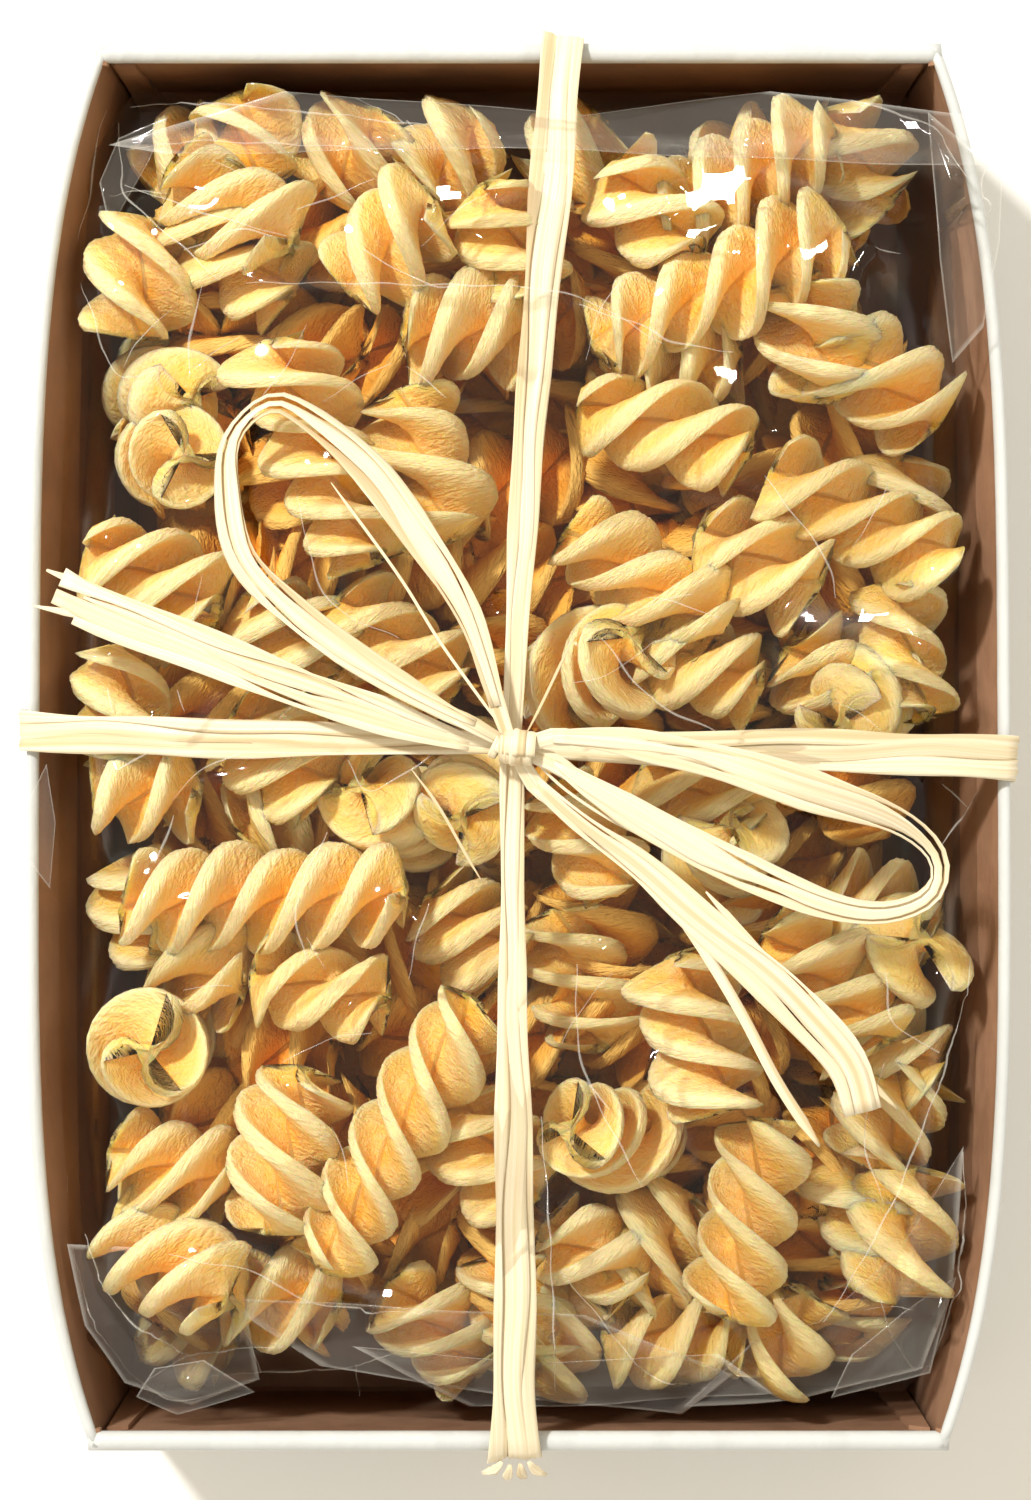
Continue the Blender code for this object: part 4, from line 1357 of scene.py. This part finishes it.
def facet_film(z, floor):
    """Lay a small plane into the film at each glint, clear of what lies under it."""
    rng = random.Random(9)
    for x0, y0, length, width, heading in GLINTS:
        turn = math.radians(heading)
        px, py = film_x / MM - x0, film_y / MM - y0
        along = px * math.cos(turn) + py * math.sin(turn)
        across = -px * math.sin(turn) + py * math.cos(turn)
        phase = [rng.uniform(0.0, math.tau) for _ in range(4)]
        ragged = 1.0 + 0.22 * np.sin(along * 1.7 + phase[0]) + 0.16 * np.sin(across * 2.3 + phase[1])
        size = np.sqrt((along * 2 / length) ** 2 + (across * 2 / width) ** 2) * ragged
        weight = np.clip((1.55 - size) / 0.5, 0.0, 1.0)
        near = size < 1.6
        if not near.any():
            continue
        gx, gy = facing_slope(x0, y0, float(z[near].mean()))
        ramp = (px * gx + py * gy) * MM
        ramp = ramp + 0.035 * MM * np.sin(px * 2.6 + phase[2]) * np.sin(py * 2.2 + phase[3])
        base = float(np.max((np.maximum(floor, z - 1.2 * MM) - ramp)[near]))
        base = min(base, float(z[near].max()) + 1.2 * MM)
        z = z * (1.0 - weight) + (ramp + base) * weight
    return z


film_high = facet_film(film_high, film_floor)
print("film with", len(GLINTS), "facets up to", round(float(film_high.max()) / MM, 1), "mm")

# %% Film material
def make_film(name, haze_and_fold_sheen, gloss_roughness):
    """Thin clear film: you see through it, with sharp reflections, a little haze, and a painted milky
    highlight in its folds.
    """
    material = bpy.data.materials.new(name)
    material.use_nodes = True
    tree = material.node_tree
    tree.nodes.clear()
    output = tree.nodes.new("ShaderNodeOutputMaterial")
    place = add_node(tree, "TexCoord").outputs["Object"]
    shade = fact(tree, "shade").outputs["Fac"]
    smear = add_node(tree, "TexNoise", Scale=160.0, Detail=0.0)
    tree.links.new(place, smear.inputs["Vector"])
    clear = add_node(tree, "BsdfTransparent")
    clear.inputs["Color"].default_value = (0.985, 0.985, 0.98, 1.0)
    gloss = add_node(tree, "BsdfGlossy")
    tree.links.new(spread(tree, smear.outputs[0], 0.3, 0.7, *gloss_roughness), gloss.inputs["Roughness"])
    tree.links.new(mix_colours(tree, spread(tree, smear.outputs[0], 0.42, 0.58), (0.92, 1.0, 0.96),
                               (1.0, 0.90, 0.98)), gloss.inputs["Color"])
    milky = add_node(tree, "BsdfDiffuse", Roughness=0.5)
    milky.inputs["Color"].default_value = (0.95, 0.95, 0.92, 1.0)
    fresnel = add_node(tree, "Fresnel", IOR=1.50)
    both_faces = math_node(tree, "MINIMUM", math_node(tree, "MULTIPLY", fresnel.outputs[0], 0.42), 0.8)
    shine = tree.nodes.new("ShaderNodeMixShader")
    veil = tree.nodes.new("ShaderNodeMixShader")
    # Milky white where shade is high: a little haze everywhere, and a painted highlight along folds, pleat
    # ridges and flap rims.
    folds = math_node(tree, "ADD", math_node(tree, "MULTIPLY", shade, haze_and_fold_sheen[1]), haze_and_fold_sheen[0])
    wire(
        tree,
        (folds, veil.inputs[0]),
        (clear.outputs[0], veil.inputs[1]),
        (milky.outputs[0], veil.inputs[2]),
        (both_faces, shine.inputs[0]),
        (veil.outputs[0], shine.inputs[1]),
        (gloss.outputs[0], shine.inputs[2]),
        (shine.outputs[0], output.inputs["Surface"]),
    )
    return material


# The second number of each pair paints the folds milky as a highlight.
film = make_film("clear_film", (0.004, 0.07), (0.03, 0.09))
folded_film = make_film("folded_film", (0.015, 0.30), (0.05, 0.14))
print("film materials")

# %% The film sheet, with its sides going down to the floor of the tray
def make_film_sheet():
    """The top of the bag and a skirt that follows the walls down."""
    bm = bmesh.new()
    shade = facts(bm)[0]
    grid = []
    for i in range(film_rows + 1):
        row = []
        for k in range(film_columns + 1):
            vert = bm.verts.new((film_x[i, k], film_y[i, k], film_high[i, k]))
            # Higher creases get more shade, which the film paints milky as a highlight.
            vert[shade] = min(1.0, float(film_fold[i, k]) / (1.2 * MM)) ** 2
            row.append(vert)
        grid.append(row)
    for low, high in zip(grid, grid[1:]):
        for k in range(film_columns):
            bm.faces.new((low[k], low[k + 1], high[k + 1], high[k]))
    border = grid[0][:-1] + [row[-1] for row in grid[:-1]]
    border += grid[-1][:0:-1] + [row[0] for row in grid[:0:-1]]
    ring = border
    for share in (0.66, 0.33, 0.0):
        lower = []
        for top in border:
            z = FLOOR_Z + 0.4 * MM + (top.co.z - FLOOR_Z) * share
            inset = 1.0 - 0.03 * (1.0 - share) - 0.006 * math.sin(top.co.y * 900.0 + share * 9.0)
            limit = wall_half_width(top.co.y, z) - 1.8 * MM
            x = max(-limit, min(limit, top.co.x * inset))
            vert = bm.verts.new((x, top.co.y * (1.0 - 0.02 * (1.0 - share)), z))
            vert[shade] = 0.1
            lower.append(vert)
        join_rings(bm, [ring, lower])
        ring = lower
    return finish_piece("film_bag", bm, film, replaces=("pasta_bag",))


film_bag = make_film_sheet()
print("film sheet", len(film_bag.data.polygons), "faces")

# %% [markdown]
# ## Folded ends of the bag
#
# At its two ends the bag is gathered and folded over itself, so there are flat layers of film
# with straight edges: a band across the back end, overlapping sheets along the front end, and
# one stiff ear that stands out over the right side wall. Each is a thin sheet given by a few
# corners, bent by a soft wave, with a narrow rim where the film is folded on itself. The rim is
# painted bright as a highlight, and the flaps are painted milky inside it, partly haze and
# partly painted reflection.

# %% Film flaps
# Corners of each flap in millimetres, going round it.
FILM_FLAPS = {
    "back_band": ((-49, 72, 43), (-28, 78, 45), (-2, 76, 46), (8, 75, 46.5), (30, 78, 46),
                  (54, 75, 46), (57, 69, 45), (30, 69.5, 48), (-2, 71, 47.5), (-42, 70.5, 45)),
    "right_ear": ((49, 76, 43.5), (53, 72, 45.5), (57.5, 67.8, 46.5), (57.2, 60, 46.5),
                  (55.4, 50, 44.5), (52, 46, 42.5), (50, 58, 45.5)),
    "left_back_ear": ((-50.5, 68, 40), (-48, 73, 41.5), (-42, 75.5, 42), (-44, 70, 43.5),
                      (-49, 62, 42)),
    "front_left_fold": ((-54.5, -60, 39), (-52.5, -70, 37), (-48, -77.5, 34), (-40, -80.5, 32),
                        (-31.5, -77, 34), (-33, -66, 40), (-45, -60, 41)),
    "front_left_corner": ((-46.5, -79, 35), (-41.5, -81.2, 34), (-32, -78.5, 35), (-38, -74, 38),
                          (-44, -75, 38)),
    "front_fold": ((-36, -66, 41), (-24, -75, 37), (-1, -79, 35), (20, -81.5, 33), (26, -76, 37),
                   (8, -68, 43), (-14, -67, 43)),
    "front_lap": ((-20, -72, 41), (-6, -80.5, 34), (12, -80, 34), (31, -78.5, 35), (24, -73, 40),
                  (2, -74, 41)),
    "front_right_fold": ((20, -80.5, 34), (34, -79.5, 34), (49, -75.5, 36), (52.5, -66, 38),
                         (53.5, -48, 40), (46, -60, 42), (36, -69, 41), (28, -72, 39)),
    "front_right_corner": ((38, -79.2, 35), (50, -76, 36), (53, -64, 38), (46, -68, 41),
                           (40, -73, 40)),
    "left_bulge": ((-56.5, -2, 43), (-59.2, -8, 44), (-58.8, -13, 43.5), (-56, -17, 42.5),
                   (-55.2, -9, 44)),
}


def add_flap(bm, shade, corners, body, seed):
    """A thin flat sheet with a folded rim painted brighter as a highlight."""
    rng = random.Random(seed)
    points = [Vector(corner) * MM for corner in corners]
    middle = sum(points, Vector()) / len(points)
    outline = []
    for a, b in zip(points, points[1:] + points[:1]):
        steps = max(2, round((b - a).length / (2.0 * MM)))
        outline += [a.lerp(b, step / steps) for step in range(steps)]
    phase = rng.uniform(0.0, math.tau)
    rings = []
    for share in (1.0, 0.985, 0.93, 0.75, 0.5, 0.25):
        ring = []
        for point in outline:
            place = middle.lerp(point, share)
            wave = 1.0 * MM * math.sin(place.x * 260.0 + phase) * math.sin(place.y * 210.0 + phase)
            lift = 0.25 * MM if share == 0.985 else 0.0
            vert = bm.verts.new(place + UP * (wave + lift))
            # The folded rim is painted bright as a highlight; the body is painted milky.
            vert[shade] = 0.7 if share > 0.98 else body
            ring.append(vert)
        rings.append(ring)
    join_rings(bm, rings)
    hub = bm.verts.new(middle)
    hub[shade] = body
    fan(bm, rings[-1], hub)


# How milky a flap is painted inside its rim, partly haze and partly painted reflection: more where several
# layers lie together.
THIN_FLAP = 0.06
LAYERED_FLAP = 0.12
bm = bmesh.new()
flap_shade = facts(bm)[0]
for seed, (name, corners) in enumerate(FILM_FLAPS.items()):
    body = LAYERED_FLAP if name.startswith(("front", "back")) else THIN_FLAP
    add_flap(bm, flap_shade, corners, body, 50 + seed)
    print("flap", name)
film_folds = finish_piece("film_folds", bm, folded_film)
print("film folds", len(film_folds.data.polygons), "faces")

# %% Pleats
def film_height(x, y):
    """Height of the film at a place given in millimetres."""
    row = (y * MM / FILM_HALF_LENGTH + 1.0) / 2.0 * film_rows
    i = min(max(round(row), 0), film_rows)
    k = int(np.argmin(np.abs(film_x[i] - x * MM)))
    return float(film_high[i, k])


def add_pleat(bm, shade, route, width, height, rng):
    """A narrow tent of film folded on itself, which catches the light as a bright line. Its ridge is also
    painted milky as a highlight.
    """
    last = len(route) - 1
    phase = rng.uniform(0.0, math.tau)
    rings = []
    for i, (x, y) in enumerate(route):
        before, after = route[max(i - 1, 0)], route[min(i + 1, last)]
        run = math.hypot(after[0] - before[0], after[1] - before[1])
        ux, uy = (after[0] - before[0]) / run, (after[1] - before[1]) / run
        share = min(max(i / last, 0.04), 0.96)
        off = 0.10 * math.sin(i * 0.7 + phase)
        x, y = x - uy * off, y + ux * off
        size = math.sin(math.pi * share) ** 0.4 * (0.75 + 0.25 * math.sin(i * 0.45 + phase))
        z = max(film_height(x, y), film_height(x - 0.6, y), film_height(x, y - 0.6)) + 0.10 * MM
        ring = []
        for a in (-1.0, 0.0, 1.0):
            wide = a * width / 2 * size
            top = height * size if a == 0.0 else 0.0
            vert = bm.verts.new(((x - uy * wide) * MM, (y + ux * wide) * MM, z + top * MM))
            # The ridge is painted milky as a highlight.
            vert[shade] = 1.0 if a == 0.0 else 0.3
            ring.append(vert)
        rings.append(ring)
    join_rings(bm, rings, closed=False)


# Edges and folds of the film, each a chain of places in millimetres.
FILM_LINES = (
    ((-50.4, 77.9), (-51.5, 74.2), (-52.1, 67.8), (-53.6, 61.7)),
    ((-47.4, 78.2), (-43.4, 78.7), (-35.4, 77.3), (-28.7, 76.7), (-12.8, 75.1), (-7.0, 74.5)),
    ((-47.7, 72.5), (-28.7, 72.0), (-12.5, 71.1)),
    ((-48.9, 76.1), (-48.0, 69.9), (-46.8, 65.7), (-39.7, 59.2), (-35.4, 55.2)),
    ((-47.4, 67.5), (-37.9, 63.5), (-27.5, 60.3)),
    ((-52.9, 56.2), (-51.0, 51.6), (-49.8, 47.6), (-47.8, 44.4), (-43.1, 44.8)),
    ((-37.4, 54.6), (-38.8, 49.4), (-39.1, 43.9)),
    ((-39.7, 58.9), (-33.0, 61.1), (-29.0, 60.4)),
    ((-26.2, 63.5), (-17.1, 67.2)),
    ((-18.3, 58.6), (-10.9, 54.6), (-7.0, 54.4)),
    ((-32.2, 54.8), (-14.2, 54.5), (5.0, 53.6), (17.0, 47.6)),
    ((51.2, 77.0), (56.0, 71.6), (55.1, 66.8), (56.6, 62.0), (55.9, 50.0)),
    ((39.8, 77.6), (43.4, 76.2), (49.4, 73.8), (53.2, 67.8)),
    ((54.2, -25.6), (52.7, -34.4), (46.9, -49.1), (41.7, -59.7), (36.6, -68.9)),
    ((53.8, -49.1), (53.8, -58.6), (50.9, -76.6)),
    ((43.2, -66.3), (46.1, -72.9), (49.4, -77.4)),
    ((5.0, -62.3), (9.8, -68.2), (16.0, -75.9), (27.0, -79.9)),
    ((30.3, -81.8), (41.7, -79.2), (50.9, -76.4)),
    ((43.6, -26.7), (44.7, -32.9), (50.5, -36.6)),
    ((7.9, -39.5), (10.9, -42.8)),
    ((-41.4, -60.1), (-31.2, -62.4), (-25.1, -66.2), (-15.8, -67.4), (-11.8, -67.7)),
    ((-54.8, -52.2), (-54.9, -58.6), (-51.9, -69.4), (-49.6, -74.1)),
    ((-52.2, -58.6), (-48.4, -67.4), (-42.3, -72.6), (-38.8, -75.2)),
    ((-49.6, -74.1), (-46.7, -79.3), (-41.4, -81.6), (-32.7, -78.4)),
    ((-39.4, -77.8), (-31.8, -77.0), (-21.1, -76.1), (-14.4, -73.2)),
    ((-46.7, -79.3), (-40.0, -74.3), (-28.3, -72.0)),
    ((-32.1, -72.3), (-31.8, -77.0)),
    ((-19.9, -75.5), (-19.9, -81.0)),
    ((-49.1, 7.0), (-48.2, 4.2)),
    ((-40.5, 6.7), (-39.5, 4.3)),
    ((-47.7, -2.9), (-45.4, -1.4), (-43.7, -0.4)),
    ((-40.8, -8.1), (-42.9, -13.8)),
    ((-57.5, -10.1), (-56.7, -13.8), (-56.2, -18.4)),
    ((51.1, -4.4), (54.4, -7.3)),
    ((55.9, -5.4), (54.4, -7.6), (51.1, -11.8)),
    ((51.7, -13.0), (50.7, -18.4)),
    ((7.1, 52.1), (14.9, 49.5), (18.5, 47.7), (25.3, 46.6)),
    ((30.5, 46.4), (34.9, 45.1)),
    ((42.2, 59.4), (45.8, 59.1)),
    ((-20.2, -1.6), (-17.6, -5.2), (-13.0, -2.8), (-9.4, -0.4)),
    ((-10.6, -18.4), (-12.1, -23.2), (-13.0, -27.4)),
    ((2.6, -43.6), (3.5, -54.4), (4.1, -66.4), (4.5, -78.4)),
    ((9.8, 12.8), (15.8, 5.6), (24.2, 1.4)),
    ((-22.6, -10.0), (-26.2, -18.4), (-25.0, -25.6)),
    ((6.8, -25.6), (7.6, -37.6), (14.6, -52.0)),
    ((43.4, -37.6), (41.0, -46.0), (43.4, -54.4)),
    ((29.0, 32.0), (36.2, 22.4), (37.4, 17.6)),
    ((-26.2, 29.6), (-22.6, 17.6), (-14.2, 12.8)),
)
rng = random.Random(61)
bm = bmesh.new()
pleat_shade = facts(bm)[0]
for places in FILM_LINES:
    route = smooth_route([Vector((x, y, 0.0)) for x, y in places], 0.8)
    add_pleat(bm, pleat_shade, [(p.x, p.y) for p in route], rng.uniform(0.26, 0.40), 0.25, rng)
for _ in range(26):
    x0, y0 = rng.uniform(-50.0, 50.0), rng.uniform(-76.0, 76.0)
    turn, run = rng.uniform(0.0, math.tau), rng.uniform(4.0, 12.0)
    bow = rng.uniform(-0.4, 0.4)
    route = smooth_route([Vector((x0 + run * t * math.cos(turn + bow * t),
                                  y0 + run * t * math.sin(turn + bow * t), 0.0))
                          for t in (0.0, 0.3, 0.65, 1.0)], 0.8)
    add_pleat(bm, pleat_shade, [(p.x, p.y) for p in route], rng.uniform(0.16, 0.24), 0.18, rng)
film_pleats = finish_piece("film_pleats", bm, folded_film)
print("pleats", len(film_pleats.data.polygons), "faces")

# %% [markdown]
# ## Table and light
#
# A plain pale table, one round lamp high on the left toward the back, and an even pale room.
# The lamp is small enough to cast clear shadows to the right, which make the spirals read.

# %% Table, lamp and room
def make_table():
    """A pale floor that is not part of the packet."""
    bpy.ops.mesh.primitive_plane_add(size=4.0, location=(0.0, 0.0, -0.2 * MM))
    table = bpy.context.active_object
    table.name = "table"
    material, tree, shader = new_material("pale_table", Roughness=0.9)
    place = add_node(tree, "TexCoord").outputs["Object"]
    patches = use_group(tree, MOTTLE, place, 3.0)
    tree.links.new(mix_colours(tree, patches.outputs[0], (0.90, 0.90, 0.90), (0.93, 0.93, 0.93)),
                   shader.inputs["Base Color"])
    table.data.materials.append(material)


def add_lamp(name, place, size, power, colour):
    """An area lamp that faces the packet."""
    data = bpy.data.lights.new(name, "AREA")
    data.shape = "DISK"
    data.size = size
    data.energy = power
    data.color = colour
    lamp = bpy.data.objects.new(name, data)
    lamp.location = place
    lamp.rotation_euler = (-Vector(place)).to_track_quat("-Z", "Y").to_euler()
    bpy.context.scene.collection.objects.link(lamp)


make_table()
LAMP_SIZE = 0.13
LAMP_WATTS = 18.5
LAMP_COLOUR = (1.0, 0.96, 0.88)
ROOM_COLOUR = (1.0, 0.90, 0.74, 1.0)
ROOM_STRENGTH = 0.86
add_lamp("high_left_lamp", LAMP_PLACE, LAMP_SIZE, LAMP_WATTS, LAMP_COLOUR)
room = bpy.data.worlds.new("pale_room")
room.use_nodes = True
room.node_tree.nodes["Background"].inputs["Color"].default_value = ROOM_COLOUR
room.node_tree.nodes["Background"].inputs["Strength"].default_value = ROOM_STRENGTH
bpy.context.scene.world = room
bpy.context.scene.view_settings.view_transform = "Standard"
print("lamp and room ready")
